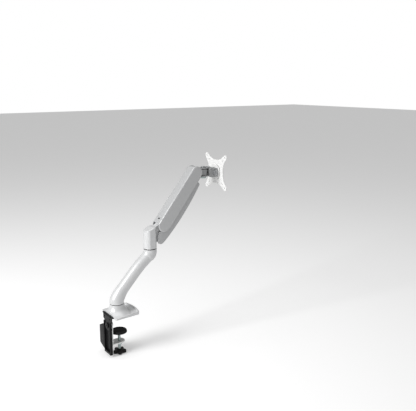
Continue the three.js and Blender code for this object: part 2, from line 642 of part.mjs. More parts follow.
{
  const frontY = -armLength;
  const nose = 14.5;
  const wall = new THREE.Shape();
  wall.moveTo(24.5, 8.5);
  wall.lineTo(7, 22.6);
  wall.lineTo(-6, 27);
  wall.lineTo(-16, lowerRise);
  wall.lineTo(frontY + 52, lowerRise);
  wall.lineTo(frontY + 24, 8);
  wall.lineTo(frontY, 12);
  wall.absarc(frontY, 0, nose - 2.5, Math.PI / 2, Math.PI * 1.25, false);
  wall.quadraticCurveTo(frontY / 2, -lowerDepth * 1.4, 0, -9.5);
  wall.lineTo(16, -6);
  wall.quadraticCurveTo(24.5, -2.5, 24.5, 8.5);
  const inner = lowerHalf - lowerWall;
  const floor = 2.5;
  const inside = new THREE.Shape();
  inside.moveTo(40, 32);
  inside.lineTo(frontY - 40, 32);
  inside.lineTo(frontY - 40, -40);
  inside.lineTo(frontY + 4, -40);
  inside.lineTo(frontY + 4, -8.6);
  inside.quadraticCurveTo(frontY / 2, -lowerDepth * 1.4 + floor + 2, -17, -8.4);
  inside.lineTo(-17, -40);
  inside.lineTo(40, -40);
  inside.closePath();
  addPiece(lower, 'lower_link', cut(
    sidePlate(wall, -lowerHalf, lowerHalf, 8),
    sidePlate(inside, -inner, inner, 8),
    barX(linkPinRadius + clearance, -30, 30, 0, 0),
    barX(linkPinRadius + clearance, -30, 30, frontY, 0)), silver);
}

// ---------------------------------------------------------------- gas spring

{
  const pinY = liftY - springPinAlong * Math.cos(angle) - springPinDrop * Math.sin(angle);
  const pinZ = liftZ + springPinAlong * Math.sin(angle) - springPinDrop * Math.cos(angle);
  const span = Math.hypot(pinY - anchorY, pinZ - anchorZ);
  const spring = new THREE.Group();
  spring.position.set(0, anchorY, anchorZ);
  spring.rotation.x = -Math.atan2(pinZ - anchorZ, anchorY - pinY);
  arm.add(spring);
  addPiece(spring, 'gas_rod', cut(
    join(barX(rodEyeRadius, -4.9, 4.9, 0, 0), barY(rodRadius, 0, -rodLength, -4, 0, 12)),
    barX(springPinRadius + clearance, -10, 10, 0, 0, 12)), zinc);
  const rearEnd = -span + 12;
  addPiece(spring, 'gas_cylinder', cut(
    join(barY(cylinderRadius, 0, rearEnd, rearEnd + cylinderLength, 0, 32),
      barX(springLug, -5, 5, -span, 0), box(-5, 5, -span, rearEnd + 1, -springLug, springLug)),
    barY(cylinderRadius - cylinderWall, 0, rearEnd + 4, rearEnd + cylinderLength + 1, 0),
    barX(springPinRadius + springPlay, -10, 10, -span, 0, 12)), blackSteel);
}

// ---------------------------------------------------------------- head

{
  const dropZ = endZ - linkSpacing;
  const barrelZ = endZ - 1;
  const barrelTop = barrelZ + barrelHeight / 2;
  const barrelBottom = barrelZ - barrelHeight / 2;
  const armHalf = 5.5;
  const bracket = join(
    barX(12, -tongueHalf, tongueHalf, endY, endZ, 32),
    barX(8, -tongueHalf, tongueHalf, endY, dropZ),
    box(-tongueHalf, tongueHalf, endY - armHalf, endY + armHalf, dropZ, endZ),
    box(-tongueHalf + 1, tongueHalf - 1, swivelY, endY, barrelBottom + 0.6, barrelTop - 0.6),
    barZ(barrelRadius, 0, swivelY, barrelBottom, barrelTop, 32));
  addPiece(arm, 'head_bracket', cut(bracket,
    barX(liftPinRadius + clearance, -30, 30, endY, endZ),
    barX(linkPinRadius + clearance, -30, 30, endY, dropZ),
    barZ(5 + clearance, 0, swivelY, 0, 2 * endZ)), headGrey);
  addPiece(arm, 'front_link_pin', barX(linkPinRadius, -lowerHalf + 0.2, lowerHalf - 0.2, endY, dropZ), steel);
  for (const [label, side] of sides) {
    addPiece(arm, `front_spacer_${label}`, cut(
      barX(spacerRadius,
        ...between(side, tongueHalf + clearance, lowerHalf - lowerWall - clearance), endY, dropZ),
      barX(linkPinRadius + clearance, -30, 30, endY, dropZ)), nylon);
  }
  const washer = (z) => cut(
    barZ(barrelRadius - 0.6, 0, swivelY, z, z + washerThickness, 32),
    barZ(5 + clearance, 0, swivelY, z - 1, z + 5));
  addPiece(arm, 'swivel_washer_top', washer(barrelTop + clearance), nylon);
  addPiece(arm, 'swivel_washer_bottom', washer(barrelBottom - clearance - washerThickness), nylon);

  // Yoke: ears above and below the barrel, and the tilt hub in front
  const earIn = barrelHeight / 2 + washerThickness + 2 * clearance;
  const earOut = earIn + earThickness;
  const webRear = swivelY - barrelRadius - 0.6;
  const ears = join(
    barZ(barrelRadius, 0, swivelY, barrelZ + earIn, barrelZ + earOut, 32),
    box(-10.5, 10.5, webRear - 4, swivelY, barrelZ + earIn, barrelZ + earOut),
    barZ(barrelRadius, 0, swivelY, barrelZ - earOut, barrelZ - earIn, 32),
    box(-10.5, 10.5, webRear - 4, swivelY, barrelZ - earOut, barrelZ - earIn));
  const web = sidePlate(rounded([
    [webRear, barrelZ - earOut, 0], [webRear, barrelZ + earOut, 0],
    [webRear - 4, barrelZ + earOut, 1], [tiltY + 4, tiltZ + hubRadius - 1, 2],
    [tiltY + 4, tiltZ - hubRadius + 1, 2], [webRear - 4, barrelZ - earOut, 1],
  ]), -10.5, 10.5);
  addPiece(arm, 'swivel_yoke', cut(
    join(ears, web, barX(hubRadius, -hubHalf, hubHalf, tiltY, tiltZ, 32)),
    barZ(5 + clearance, 0, swivelY, 0, 2 * endZ),
    barX(tiltBoltRadius + clearance, -30, 30, tiltY, tiltZ)), headGrey);
  const capZ = barrelZ + earOut + clearance;
  const nutZ = barrelZ - earOut - clearance;
  addPiece(arm, 'swivel_bolt', join(
    barZ(8.5, 0, swivelY, capZ, capZ + 2.6),
    barZ(5, 0, swivelY, nutZ - 5, capZ + 1)), steel);
  addPiece(arm, 'swivel_nut', cut(
    barZ(8.2, 0, swivelY, nutZ - 5.6, nutZ, 6),
    barZ(5 + clearance, 0, swivelY, nutZ - 10, nutZ + 1)), zinc);

  for (const [label, side] of sides) {
    addPiece(arm, `tilt_washer_${label}`, cut(
      barX(9, ...between(side, hubHalf + clearance, cheekInner - clearance), tiltY, tiltZ),
      barX(tiltBoltRadius + clearance, -30, 30, tiltY, tiltZ)), nylon);
  }

  // Tilt bracket: two cheeks on a round disc, with a short boss that the plate turns on
  const washerStack = 0.8 + 2 * clearance;
  const discFront = plateY + washerStack;
  const discRear = discFront + discThickness;
  const cheek = rounded([
    [tiltY + cheekRear, tiltZ - cheekHeight * 0.44, 4], [tiltY + cheekRear, tiltZ + cheekHeight * 0.56, 4],
    [tiltY + 1, tiltZ + cheekHeight * 0.56, 4], [discFront, tiltZ + cheekHeight * 0.4, 0],
    [discFront, tiltZ - cheekHeight * 0.48, 0],
  ]);
  const bossRadius = 8;
  const bossFront = plateY - plateThickness + 1.9;
  addPiece(arm, 'tilt_bracket', cut(join(
    sidePlate(cheek, cheekInner, cheekOuter), sidePlate(cheek, -cheekOuter, -cheekInner),
    barY(discRadius, 0, discFront, discRear, tiltZ, 32),
    barY(bossRadius, 0, bossFront, discRear, tiltZ, 32)),
  barX(tiltBoltRadius + clearance, -30, 30, tiltY, tiltZ),
  barY(2.9 + clearance, 0, bossFront - 1, discRear + 0.5, tiltZ, 12)), headGrey);
  addPiece(arm, 'tilt_bolt', join(
    barX(8, -cheekOuter - clearance - 3.4, -cheekOuter - clearance, tiltY, tiltZ, 32),
    barX(tiltBoltRadius, -cheekOuter - 2, cheekOuter + clearance + 5, tiltY, tiltZ)), zinc);
  addPiece(arm, 'tilt_nut', cut(
    barX(7.6, cheekOuter + clearance, cheekOuter + clearance + 6, tiltY, tiltZ, 6),
    barX(tiltBoltRadius + clearance, 0, 40, tiltY, tiltZ)), zinc);

  // Plate: four round-tipped arms with two square hole patterns
  const small = holeSpacingSmall / 2;
  const large = holeSpacingLarge / 2;
  const outline = new THREE.Shape();
  const tipEdge = plateTip * Math.SQRT1_2;
  const neckPull = 9;
  const notchPull = 20;
  for (let k = 0; k < 4; k += 1) {
    const turn = (k * Math.PI) / 2;
    const place = (u, v) => [
      u * Math.cos(turn) - v * Math.sin(turn), u * Math.sin(turn) + v * Math.cos(turn)];
    if (k === 0) outline.moveTo(...place(large - tipEdge, -large - tipEdge));
    const [tipX, tipZ] = place(large, -large);
    outline.absarc(tipX, tipZ, plateTip, turn - Math.PI * 0.75, turn + Math.PI / 4, false);
    outline.bezierCurveTo(
      ...place(large + tipEdge - neckPull, -large + tipEdge + neckPull),
      ...place(plateNotch, -notchPull),
      ...place(plateNotch, 0));
    outline.bezierCurveTo(
      ...place(plateNotch, notchPull),
      ...place(large + tipEdge - neckPull, large - tipEdge - neckPull),
      ...place(large + tipEdge, large - tipEdge));
  }
  for (const spacing of [small, large]) {
    for (const [u, v] of [[1, 1], [1, -1], [-1, 1], [-1, -1]]) {
      const hole = new THREE.Path();
      hole.absarc(u * spacing, v * spacing, holeRadius, 0, 2 * Math.PI, true);
      outline.holes.push(hole);
    }
  }
  const plateFront = plateY - plateThickness;
  addPiece(arm, 'vesa_plate', cut(
    frontPlate(outline, plateFront, plateY, 5).translate([0, 0, tiltZ]),
    barY(bossRadius + clearance, 0, plateFront - 1, plateY + 1, tiltZ, 32),
    barY(12 + clearance, 0, plateFront - 1, plateFront + 1.6, tiltZ, 32)), plateWhite);
  addPiece(arm, 'rotation_washer', cut(
    barY(discRadius - 1.5, 0, plateY + clearance, plateY + clearance + 0.8, tiltZ, 32),
    barY(bossRadius + clearance, 0, plateY - 1, plateY + 5, tiltZ, 32)), nylon);
  addPiece(arm, 'rotation_screw', join(
    barY(12, 0, plateFront + 0.1, plateFront + 1.4, tiltZ, 32),
    barY(2.9, 0, plateFront + 0.1, discRear, tiltZ, 12)), zinc);
}

export default arm;
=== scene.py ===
"""A desk-clamped monitor arm, put together from the clamp up to the screen plate.

Lengths are in metres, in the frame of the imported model: +Z is up, and the arm points along -Y.
"""

import json
import math

import bmesh
import bpy
from mathutils import Matrix, Vector


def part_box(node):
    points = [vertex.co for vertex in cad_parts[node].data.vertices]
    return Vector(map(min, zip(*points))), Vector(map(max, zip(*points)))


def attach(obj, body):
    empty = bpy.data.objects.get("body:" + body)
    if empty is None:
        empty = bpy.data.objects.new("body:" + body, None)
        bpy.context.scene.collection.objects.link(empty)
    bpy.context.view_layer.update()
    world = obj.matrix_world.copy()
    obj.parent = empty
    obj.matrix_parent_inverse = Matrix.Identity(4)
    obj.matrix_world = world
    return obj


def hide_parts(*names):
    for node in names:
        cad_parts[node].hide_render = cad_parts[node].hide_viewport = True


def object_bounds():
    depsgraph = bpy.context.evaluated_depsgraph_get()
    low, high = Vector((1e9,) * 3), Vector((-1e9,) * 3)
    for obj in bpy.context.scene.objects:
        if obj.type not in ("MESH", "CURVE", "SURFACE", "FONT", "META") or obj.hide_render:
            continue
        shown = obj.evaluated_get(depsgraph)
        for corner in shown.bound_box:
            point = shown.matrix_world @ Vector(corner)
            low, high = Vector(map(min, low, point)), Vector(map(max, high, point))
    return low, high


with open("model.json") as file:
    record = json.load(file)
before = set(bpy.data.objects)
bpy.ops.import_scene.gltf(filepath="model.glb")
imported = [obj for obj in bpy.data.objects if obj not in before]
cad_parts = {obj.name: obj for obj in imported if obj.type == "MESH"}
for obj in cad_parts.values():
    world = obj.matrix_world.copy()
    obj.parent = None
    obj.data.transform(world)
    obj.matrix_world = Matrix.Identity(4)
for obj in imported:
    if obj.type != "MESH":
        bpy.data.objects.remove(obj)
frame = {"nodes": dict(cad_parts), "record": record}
cad_low, cad_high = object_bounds()

# ---- Studio -------------------------------------------------------------------------------
# Not part of the arm: a plain pale floor, one large soft key light behind the clamp, a softer
# one above, and a camera a little higher than the arm, behind it and to one side.

camera = bpy.data.objects.new("camera", bpy.data.cameras.new("camera"))
bpy.context.scene.collection.objects.link(camera)
camera.location = (-1.5404, 0.7429, 0.7072)
sight = Vector((0.79859, -0.56381, -0.21066))
camera.rotation_euler = sight.to_track_quat("-Z", "Y").to_euler()
camera.data.lens = 50.16
camera.data.sensor_width = 36
camera.data.clip_start = 0.01
bpy.context.scene.camera = camera


def soft_light(name, place, target, width, height, power):
    """A rectangular lamp at place, turned towards target."""
    lamp = bpy.data.lights.new(name, "AREA")
    lamp.shape = "RECTANGLE"
    lamp.size = width
    lamp.size_y = height
    lamp.energy = power
    holder = bpy.data.objects.new(name, lamp)
    bpy.context.scene.collection.objects.link(holder)
    holder.location = place
    holder.rotation_euler = (Vector(target) - Vector(place)).to_track_quat("-Z", "Y").to_euler()


middle = Vector((0, -0.15, 0.2))
soft_light("key", (-0.15, 2.1, 1.4), middle, 1.0, 1.5, 50)
soft_light("overhead", (-0.2, -0.1, 2.3), middle, 1.8, 1.8, 14)

fill_light = 0.36
seen_white = 1.0
sky = bpy.data.worlds.new("studio")
bpy.context.scene.world = sky
sky.use_nodes = True
sky_shader = sky.node_tree.nodes["Background"]
sky_shader.inputs["Color"].default_value = (1, 1, 1, 1)
seen_sky = sky.node_tree.nodes.new("ShaderNodeLightPath")
sky_power = sky.node_tree.nodes.new("ShaderNodeMapRange")
sky_power.inputs["To Min"].default_value = fill_light
sky_power.inputs["To Max"].default_value = seen_white
sky.node_tree.links.new(seen_sky.outputs["Is Camera Ray"], sky_power.inputs["Value"])
sky.node_tree.links.new(sky_power.outputs["Result"], sky_shader.inputs["Strength"])
bpy.context.scene.view_settings.view_transform = "Standard"

reach = 14
floor_glow = 0.2
floor_mesh = bpy.data.meshes.new("floor")
floor_mesh.from_pydata(
    [(u * reach, v * reach, cad_low[2]) for u, v in ((-1, -1), (1, -1), (1, 1), (-1, 1))],
    [], [(0, 1, 2, 3)])
floor = bpy.data.objects.new("floor", floor_mesh)
bpy.context.scene.collection.objects.link(floor)
paper = bpy.data.materials.new("seamless paper")
paper.use_nodes = True
paper_shader = paper.node_tree.nodes["Principled BSDF"]
paper_shader.inputs["Roughness"].default_value = 0.9
paper_shader.inputs["Specular IOR Level"].default_value = 0.1
paper_shader.inputs["Base Color"].default_value = (0.94, 0.94, 0.94, 1)
seen_floor = paper.node_tree.nodes.new("ShaderNodeLightPath")
glow = paper.node_tree.nodes.new("ShaderNodeMath")
glow.operation = "MULTIPLY"
glow.inputs[1].default_value = floor_glow
paper.node_tree.links.new(seen_floor.outputs["Is Camera Ray"], glow.inputs[0])
paper.node_tree.links.new(glow.outputs[0], paper_shader.inputs["Emission Strength"])
paper_shader.inputs["Emission Color"].default_value = (1, 1, 1, 1)
floor_mesh.materials.append(paper)


# ---- Foot pad -----------------------------------------------------------------------------
# A die-cut sheet of black rubber, glued under the foot so that it neither slips nor marks the
# desk. It is cut a little smaller than the foot and sits up inside its rim.

mm = 0.001
joint_at = {joint["name"]: Vector(joint.get("pos_m", (0, 0, 0)))
            for joint in frame["record"]["behaviour"]["joints"]}


def finish_group(name, settings):
    """A shader group that takes a colour and settings, and puts out a colour, gloss and relief."""
    group = bpy.data.node_groups.new(name, "ShaderNodeTree")
    add = group.interface.new_socket
    add("Colour", in_out="INPUT", socket_type="NodeSocketColor")
    for setting, value in settings:
        kind = "NodeSocketVector" if isinstance(value, tuple) else "NodeSocketFloat"
        add(setting, in_out="INPUT", socket_type=kind).default_value = value
    add("Colour", in_out="OUTPUT", socket_type="NodeSocketColor")
    add("Roughness", in_out="OUTPUT", socket_type="NodeSocketFloat")
    add("Normal", in_out="OUTPUT", socket_type="NodeSocketVector")
    return group, group.nodes.new("NodeGroupInput"), group.nodes.new("NodeGroupOutput")


def varied(group, given, result, pattern, setting):
    """Puts out the given colour and roughness, moved up and down by pattern times setting."""
    nodes, links = group.nodes, group.links
    centred = nodes.new("ShaderNodeMath")
    centred.operation = "SUBTRACT"
    centred.inputs[1].default_value = 0.5
    links.new(pattern, centred.inputs[0])
    amount = nodes.new("ShaderNodeMath")
    amount.operation = "MULTIPLY"
    links.new(centred.outputs[0], amount.inputs[0])
    links.new(given.outputs[setting], amount.inputs[1])
    bright = nodes.new("ShaderNodeMath")
    bright.operation = "ADD"
    bright.inputs[1].default_value = 1
    links.new(amount.outputs[0], bright.inputs[0])
    tone = nodes.new("ShaderNodeHueSaturation")
    links.new(given.outputs["Colour"], tone.inputs["Color"])
    links.new(bright.outputs[0], tone.inputs["Value"])
    links.new(tone.outputs["Color"], result.inputs["Colour"])
    rough = nodes.new("ShaderNodeMath")
    rough.operation = "ADD"
    links.new(given.outputs["Roughness"], rough.inputs[0])
    links.new(amount.outputs[0], rough.inputs[1])
    links.new(rough.outputs[0], result.inputs["Roughness"])


def surface_grain():
    """The fine texture of a coated or moulded surface, with a slow drift in tone over it."""
    group, given, result = finish_group("surface grain", (
        ("Roughness", 0.4), ("Grain", 1500.0), ("Depth", 0.1), ("Drift", 0.04)))
    nodes, links = group.nodes, group.links
    place = nodes.new("ShaderNodeTexCoord")
    grain = nodes.new("ShaderNodeTexNoise")
    grain.inputs["Detail"].default_value = 3
    links.new(place.outputs["Object"], grain.inputs["Vector"])
    links.new(given.outputs["Grain"], grain.inputs["Scale"])
    bump = nodes.new("ShaderNodeBump")
    bump.inputs["Distance"].default_value = 0.0002
    links.new(given.outputs["Depth"], bump.inputs["Strength"])
    links.new(grain.outputs["Fac"], bump.inputs["Height"])
    links.new(bump.outputs["Normal"], result.inputs["Normal"])
    cloud = nodes.new("ShaderNodeTexNoise")
    cloud.inputs["Scale"].default_value = 28
    cloud.inputs["Detail"].default_value = 4
    links.new(place.outputs["Object"], cloud.inputs["Vector"])
    varied(group, given, result, cloud.outputs["Fac"], "Drift")
    return group


grain_group = surface_grain()


def finished(name, group, settings):
    """A material whose colour, roughness and relief come from group, and its main shader."""
    made = bpy.data.materials.new(name)
    made.use_nodes = True
    nodes, links = made.node_tree.nodes, made.node_tree.links
    shader = nodes["Principled BSDF"]
    skin = nodes.new("ShaderNodeGroup")
    skin.node_tree = group
    for setting, value in settings.items():
        skin.inputs[setting].default_value = value
    links.new(skin.outputs["Colour"], shader.inputs["Base Color"])
    links.new(skin.outputs["Roughness"], shader.inputs["Roughness"])
    links.new(skin.outputs["Normal"], shader.inputs["Normal"])
    return made, shader


def coated(name, colour, roughness, grain, depth, drift, metallic=0.0, coat=0.0, shine=0.5):
    """A painted, moulded or rubber surface with its own grain."""
    made, shader = finished(name, grain_group, {
        "Colour": (*colour, 1), "Roughness": roughness, "Grain": grain, "Depth": depth, "Drift": drift})
    shader.inputs["Metallic"].default_value = metallic
    shader.inputs["Specular IOR Level"].default_value = shine
    shader.inputs["Coat Weight"].default_value = coat
    shader.inputs["Coat Roughness"].default_value = 0.25
    return made


def fillet(corners, steps=8):
    """An outline from corners given as (u, v, radius), each rounded by a true arc."""
    outline = []
    count = len(corners)
    for i, (u, v, radius) in enumerate(corners):
        corner = Vector((u, v))
        before = Vector(corners[i - 1][:2]) - corner
        after = Vector(corners[(i + 1) % count][:2]) - corner
        half = before.angle(after) / 2
        nearly_straight = 1.55
        if radius <= 0 or half > nearly_straight:
            outline.append(corner)
            continue
        cut = min(radius / math.tan(half), before.length * 0.49, after.length * 0.49)
        radius = cut * math.tan(half)
        inwards = (before.normalized() + after.normalized()).normalized()
        centre = corner + inwards * radius / math.sin(half)
        start = corner + before.normalized() * cut - centre
        end = corner + after.normalized() * cut - centre
        sweep = start.angle_signed(end)
        for k in range(steps + 1):
            turn = Matrix.Rotation(-sweep * k / steps, 2)
            outline.append(centre + turn @ start)
    return outline


def hole(u, v, radius, count=40):
    """A round hole's outline."""
    return [Vector((u + radius * math.cos(2 * math.pi * k / count),
                    v + radius * math.sin(2 * math.pi * k / count))) for k in range(count)]


def area(loop):
    """The signed area inside a loop, positive when it runs anticlockwise."""
    return sum(a.x * b.y - b.x * a.y for a, b in zip(loop, loop[1:] + loop[:1])) / 2


def moved_in(loop, distance):
    """A loop moved sideways, to its left, by distance at each of its points."""
    moved = []
    count = len(loop)
    for i, point in enumerate(loop):
        into = (point - loop[i - 1]).normalized()
        out = (loop[(i + 1) % count] - point).normalized()
        left = Vector((-into.y - out.y, into.x + out.x))
        left = left.normalized() if left.length > 1e-6 else Vector((-into.y, into.x))
        lean = max(0.35, left.dot(Vector((-into.y, into.x))))
        moved.append(point + left * distance / lean)
    return moved


def without_doubles(loop):
    """A loop without the points that lie on top of each other."""
    return [p for i, p in enumerate(loop) if (p - loop[i - 1]).length > 2e-6]


def new_piece(name, body_mesh, material, angle=35):
    """A finished object around a bmesh, smooth except where faces meet at more than angle."""
    mesh = bpy.data.meshes.new(name)
    bmesh.ops.recalc_face_normals(body_mesh, faces=body_mesh.faces)
    body_mesh.to_mesh(mesh)
    body_mesh.free()
    for face in mesh.polygons:
        face.use_smooth = True
    mesh.set_sharp_from_angle(angle=math.radians(angle))
    mesh.materials.append(material)
    piece = bpy.data.objects.new(name, mesh)
    bpy.context.scene.collection.objects.link(piece)
    return piece


side_on = Matrix(((0, 0, 1, 0), (1, 0, 0, 0), (0, 1, 0, 0), (0, 0, 0, 1)))
face_on = Matrix(((1, 0, 0, 0), (0, 0, -1, 0), (0, 1, 0, 0), (0, 0, 0, 1)))
flat_on = Matrix.Identity(4)


def plate(name, material, outline, holes, low, high, edge, way, place=Matrix.Identity(4), steps=4):
    """A flat piece cut to outline, from low to high, with its edges rounded to radius edge.

    way says which way it faces: flat_on is seen from above, side_on from +X and face_on from -Y.
    """
    loops = []
    for i, loop in enumerate([outline] + holes):
        loop = without_doubles([Vector(p) for p in loop])
        wanted = 1 if i == 0 else -1
        loops.append(loop if area(loop) * wanted > 0 else loop[::-1])
    levels = []
    for k in range(steps + 1):
        turn = math.pi / 2 * k / steps
        levels.append((low + edge * (1 - math.sin(turn)), edge * (1 - math.cos(turn))))
    levels = levels[::-1]
    levels += [(high - (z - low), inset) for z, inset in levels[::-1]]
    build = bmesh.new()
    first_edges, last_edges = [], []
    for loop in loops:
        rings = [[build.verts.new((*p, z)) for p in moved_in(loop, inset)] for z, inset in levels]
        count = len(loop)
        for lower, upper in zip(rings, rings[1:]):
            for j in range(count):
                n = (j + 1) % count
                build.faces.new((lower[j], lower[n], upper[n], upper[j]))
        for ring, edges in ((rings[0], first_edges), (rings[-1], last_edges)):
            edges.extend(build.edges.get((ring[j], ring[(j + 1) % count])) for j in range(count))
    bmesh.ops.triangle_fill(build, use_beauty=True, edges=first_edges)
    bmesh.ops.triangle_fill(build, use_beauty=True, edges=last_edges)
    build.transform(place @ way)
    return new_piece(name, build, material)


def foot_outline(inset):
    """The foot seen from above: straight at the desk's rear edge and bowed towards the user."""
    low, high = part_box("base_cover")
    half, rear, front = high[0] - inset, high[1] - inset, low[1] + inset
    narrow = half * 0.9
    bow = 6 * mm
    rear_corner, front_corner = 4 * mm, 13 * mm
    across = [1 - 2 * k / 10 for k in range(1, 10)]
    corners = [(-half, rear, rear_corner), (-narrow, front + bow, front_corner)]
    corners += [(-narrow * u, front + bow * u ** 2, 0) for u in across]
    corners += [(narrow, front + bow, front_corner), (half, rear, rear_corner)]
    return fillet(corners)


black_rubber = coated("black rubber", (0.012, 0.012, 0.012), 0.7, 2600, 0.35, 0.1, shine=0.3)
pad_low, pad_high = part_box("base_pad")
foot_pad = plate("foot_pad", black_rubber, foot_outline(3 * mm), [],
                 pad_low[2], pad_high[2], 0.3 * mm, flat_on)
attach(foot_pad, "base")
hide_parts("base_pad")


# ---- Upper clamp bracket ------------------------------------------------------------------
# Black powder-coated sheet steel, 3.4 mm thick. Its flange is screwed up under the foot, and
# its leg hangs behind the desk down to a round end that one large bolt holds to the channel.

black_coat = coated("black powder coat", (0.006, 0.006, 0.0065), 0.42, 1900, 0.25, 0.25, shine=0.2)
flange_low, flange_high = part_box("clamp_bracket")
bolt_low, bolt_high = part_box("column_bolt")
bolt_z = (bolt_low[2] + bolt_high[2]) / 2
sheet_steel = 3.4 * mm
leg_half = 16.5 * mm
apron_half = 28.5 * mm
apron_foot = -14 * mm
bolt_hole = 4.3 * mm
leg_back = flange_high[1]
leg_front = leg_back - sheet_steel


def joined(name, *pieces):
    """Several finished pieces made one object, which keeps the first one's material."""
    build = bmesh.new()
    for piece in pieces:
        build.from_mesh(piece.data)
    material = pieces[0].data.materials[0]
    for piece in pieces:
        bpy.data.meshes.remove(piece.data)
    return new_piece(name, build, material)


flange_half = flange_high[0]
flange = plate("flange", black_coat, fillet([
    (-flange_half, flange_low[1], 3 * mm), (flange_half, flange_low[1], 3 * mm),
    (flange_half, leg_back, 4 * mm), (-flange_half, leg_back, 4 * mm)]),
    [hole(0, -8 * mm, 3.2 * mm)] + [hole(u, -12 * mm, 5.1 * mm) for u in (-27 * mm, 27 * mm)],
    flange_high[2] - sheet_steel, flange_high[2], 0.6 * mm, flat_on)
leg = plate("leg", black_coat, fillet([
    (-apron_half, flange_high[2] - 0.4 * mm, 1 * mm), (-apron_half, apron_foot, 7 * mm),
    (-leg_half, apron_foot - 3 * mm, 3 * mm), (-leg_half, flange_low[2], leg_half * 0.97),
    (leg_half, flange_low[2], leg_half * 0.97), (leg_half, apron_foot - 3 * mm, 3 * mm),
    (apron_half, apron_foot, 7 * mm), (apron_half, flange_high[2] - 0.4 * mm, 1 * mm)]),
    [hole(0, bolt_z, bolt_hole)] + [hole(u, -4 * mm, 2.6 * mm) for u in (-18.6 * mm, 18.6 * mm)],
    -leg_back, -leg_front, 0.6 * mm, face_on)
bracket = joined("upper_clamp_bracket", flange, leg)
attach(bracket, "base")
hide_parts("clamp_bracket")


# ---- Clamp channel ------------------------------------------------------------------------
# The clamp's back: a black powder-coated steel channel, open to the rear, with its flanges cut
# at an angle below. A row of holes in the web takes the bolt at three desk thicknesses.

web_low, web_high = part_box("clamp_channel")
channel_wall = 2.8 * mm
channel_half = web_high[0]
web_front, channel_back = web_low[1], web_high[1]
slant = 4.5 * mm
u_section = []
for u, v, radius in ((-channel_half, channel_back, 0.8), (-channel_half, web_front, 3.4),
                     (channel_half, web_front, 3.4), (channel_half, channel_back, 0.8),
                     (channel_half - channel_wall, channel_back, 0.8),
                     (channel_half - channel_wall, web_front + channel_wall, 0.9),
                     (-channel_half + channel_wall, web_front + channel_wall, 0.9),
                     (-channel_half + channel_wall, channel_back, 0.8)):
    u_section.append((u, v, radius * mm))
channel = plate("clamp_column", black_coat, fillet(u_section, 6), [],
                web_low[2], web_high[2], 0.5 * mm, flat_on)


def block(low, high):
    """A plain box used only to cut or fill other pieces."""
    build = bmesh.new()
    bmesh.ops.create_cube(build, size=1)
    size = Vector(high) - Vector(low)
    build.transform(Matrix.Translation((Vector(low) + Vector(high)) / 2) @ Matrix.Diagonal((*size, 1)))
    return new_piece("tool", build, black_coat)


def bar(start, end, radius, sides=64):
    """A round bar from start to end, used to cut holes and to join pieces."""
    start, end = Vector(start), Vector(end)
    build = bmesh.new()
    bmesh.ops.create_cone(build, cap_ends=True, segments=sides, radius1=radius, radius2=radius,
                          depth=(end - start).length)
    turn = (end - start).to_track_quat("Z", "Y").to_matrix().to_4x4()
    build.transform(Matrix.Translation((start + end) / 2) @ turn)
    return new_piece("tool", build, black_coat)


def baked(piece):
    """The piece with its modifiers made part of its mesh."""
    graph = bpy.context.evaluated_depsgraph_get()
    shape = bpy.data.meshes.new_from_object(piece.evaluated_get(graph), depsgraph=graph)
    old = piece.data
    piece.modifiers.clear()
    piece.data = shape
    shape.name = piece.name
    bpy.data.meshes.remove(old)
    return piece


def carve(piece, tools, operation="DIFFERENCE"):
    """The piece with each tool cut out of it, joined to it or kept in common with it."""
    for tool in tools:
        step = piece.modifiers.new("carve", "BOOLEAN")
        step.operation = operation
        step.solver = "EXACT"
        step.object = tool
    baked(piece)
    for tool in tools:
        bpy.data.objects.remove(tool)
    piece.data.set_sharp_from_angle(angle=math.radians(35))
    return piece


slant_tool = plate("tool", black_coat, [
    (web_front - 5 * mm, web_low[2] - 5 * mm), (web_front - 5 * mm, web_low[2] + slant + 4 * mm),
    (web_front, web_low[2] + slant), (channel_back - 2.5 * mm, web_low[2]),
    (channel_back + 5 * mm, web_low[2] - 1 * mm), (channel_back + 5 * mm, web_low[2] - 5 * mm)],
    [], -channel_half - 5 * mm, channel_half + 5 * mm, 0.01 * mm, side_on)
hole_spacing = 22 * mm
bolt_holes = []
for k in range(3):
    height = bolt_z - hole_spacing * k
    bolt_holes.append(bar((0, web_front - 2 * mm, height), (0, web_front + 6 * mm, height), bolt_hole))
toe = block((-channel_half + 1 * mm, web_front + 1 * mm, web_low[2] + 0.2 * mm),
            (channel_half - 1 * mm, channel_back - 0.6 * mm, web_low[2] + slant + channel_wall))
carve(channel, [toe], "UNION")
channel = carve(channel, [slant_tool] + bolt_holes)
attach(channel, "base")
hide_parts("clamp_channel")


# ---- Lower jaw ----------------------------------------------------------------------------
# An angle of 4.5 mm steel, bright zinc plated. Its long leg is bolted behind the channel, and
# its tab reaches under the desk with a round end around the clamp screw.


def plated_streaks():
    """Rolling and polishing marks on bare or plated steel, in tone, gloss and relief."""
    group, given, result = finish_group("metal streaks", (
        ("Roughness", 0.3), ("Stretch", (60, 60, 900)), ("Marks", 0.15)))
    nodes, links = group.nodes, group.links
    place = nodes.new("ShaderNodeTexCoord")
    stretch = nodes.new("ShaderNodeVectorMath")
    stretch.operation = "MULTIPLY"
    links.new(place.outputs["Object"], stretch.inputs[0])
    links.new(given.outputs["Stretch"], stretch.inputs[1])
    streak = nodes.new("ShaderNodeTexNoise")
    streak.inputs["Scale"].default_value = 1
    streak.inputs["Detail"].default_value = 5
    links.new(stretch.outputs[0], streak.inputs["Vector"])
    varied(group, given, result, streak.outputs["Fac"], "Marks")
    bump = nodes.new("ShaderNodeBump")
    bump.inputs["Strength"].default_value = 0.2
    bump.inputs["Distance"].default_value = 0.0001
    links.new(streak.outputs["Fac"], bump.inputs["Height"])
    links.new(bump.outputs["Normal"], result.inputs["Normal"])
    return group


streak_group = plated_streaks()


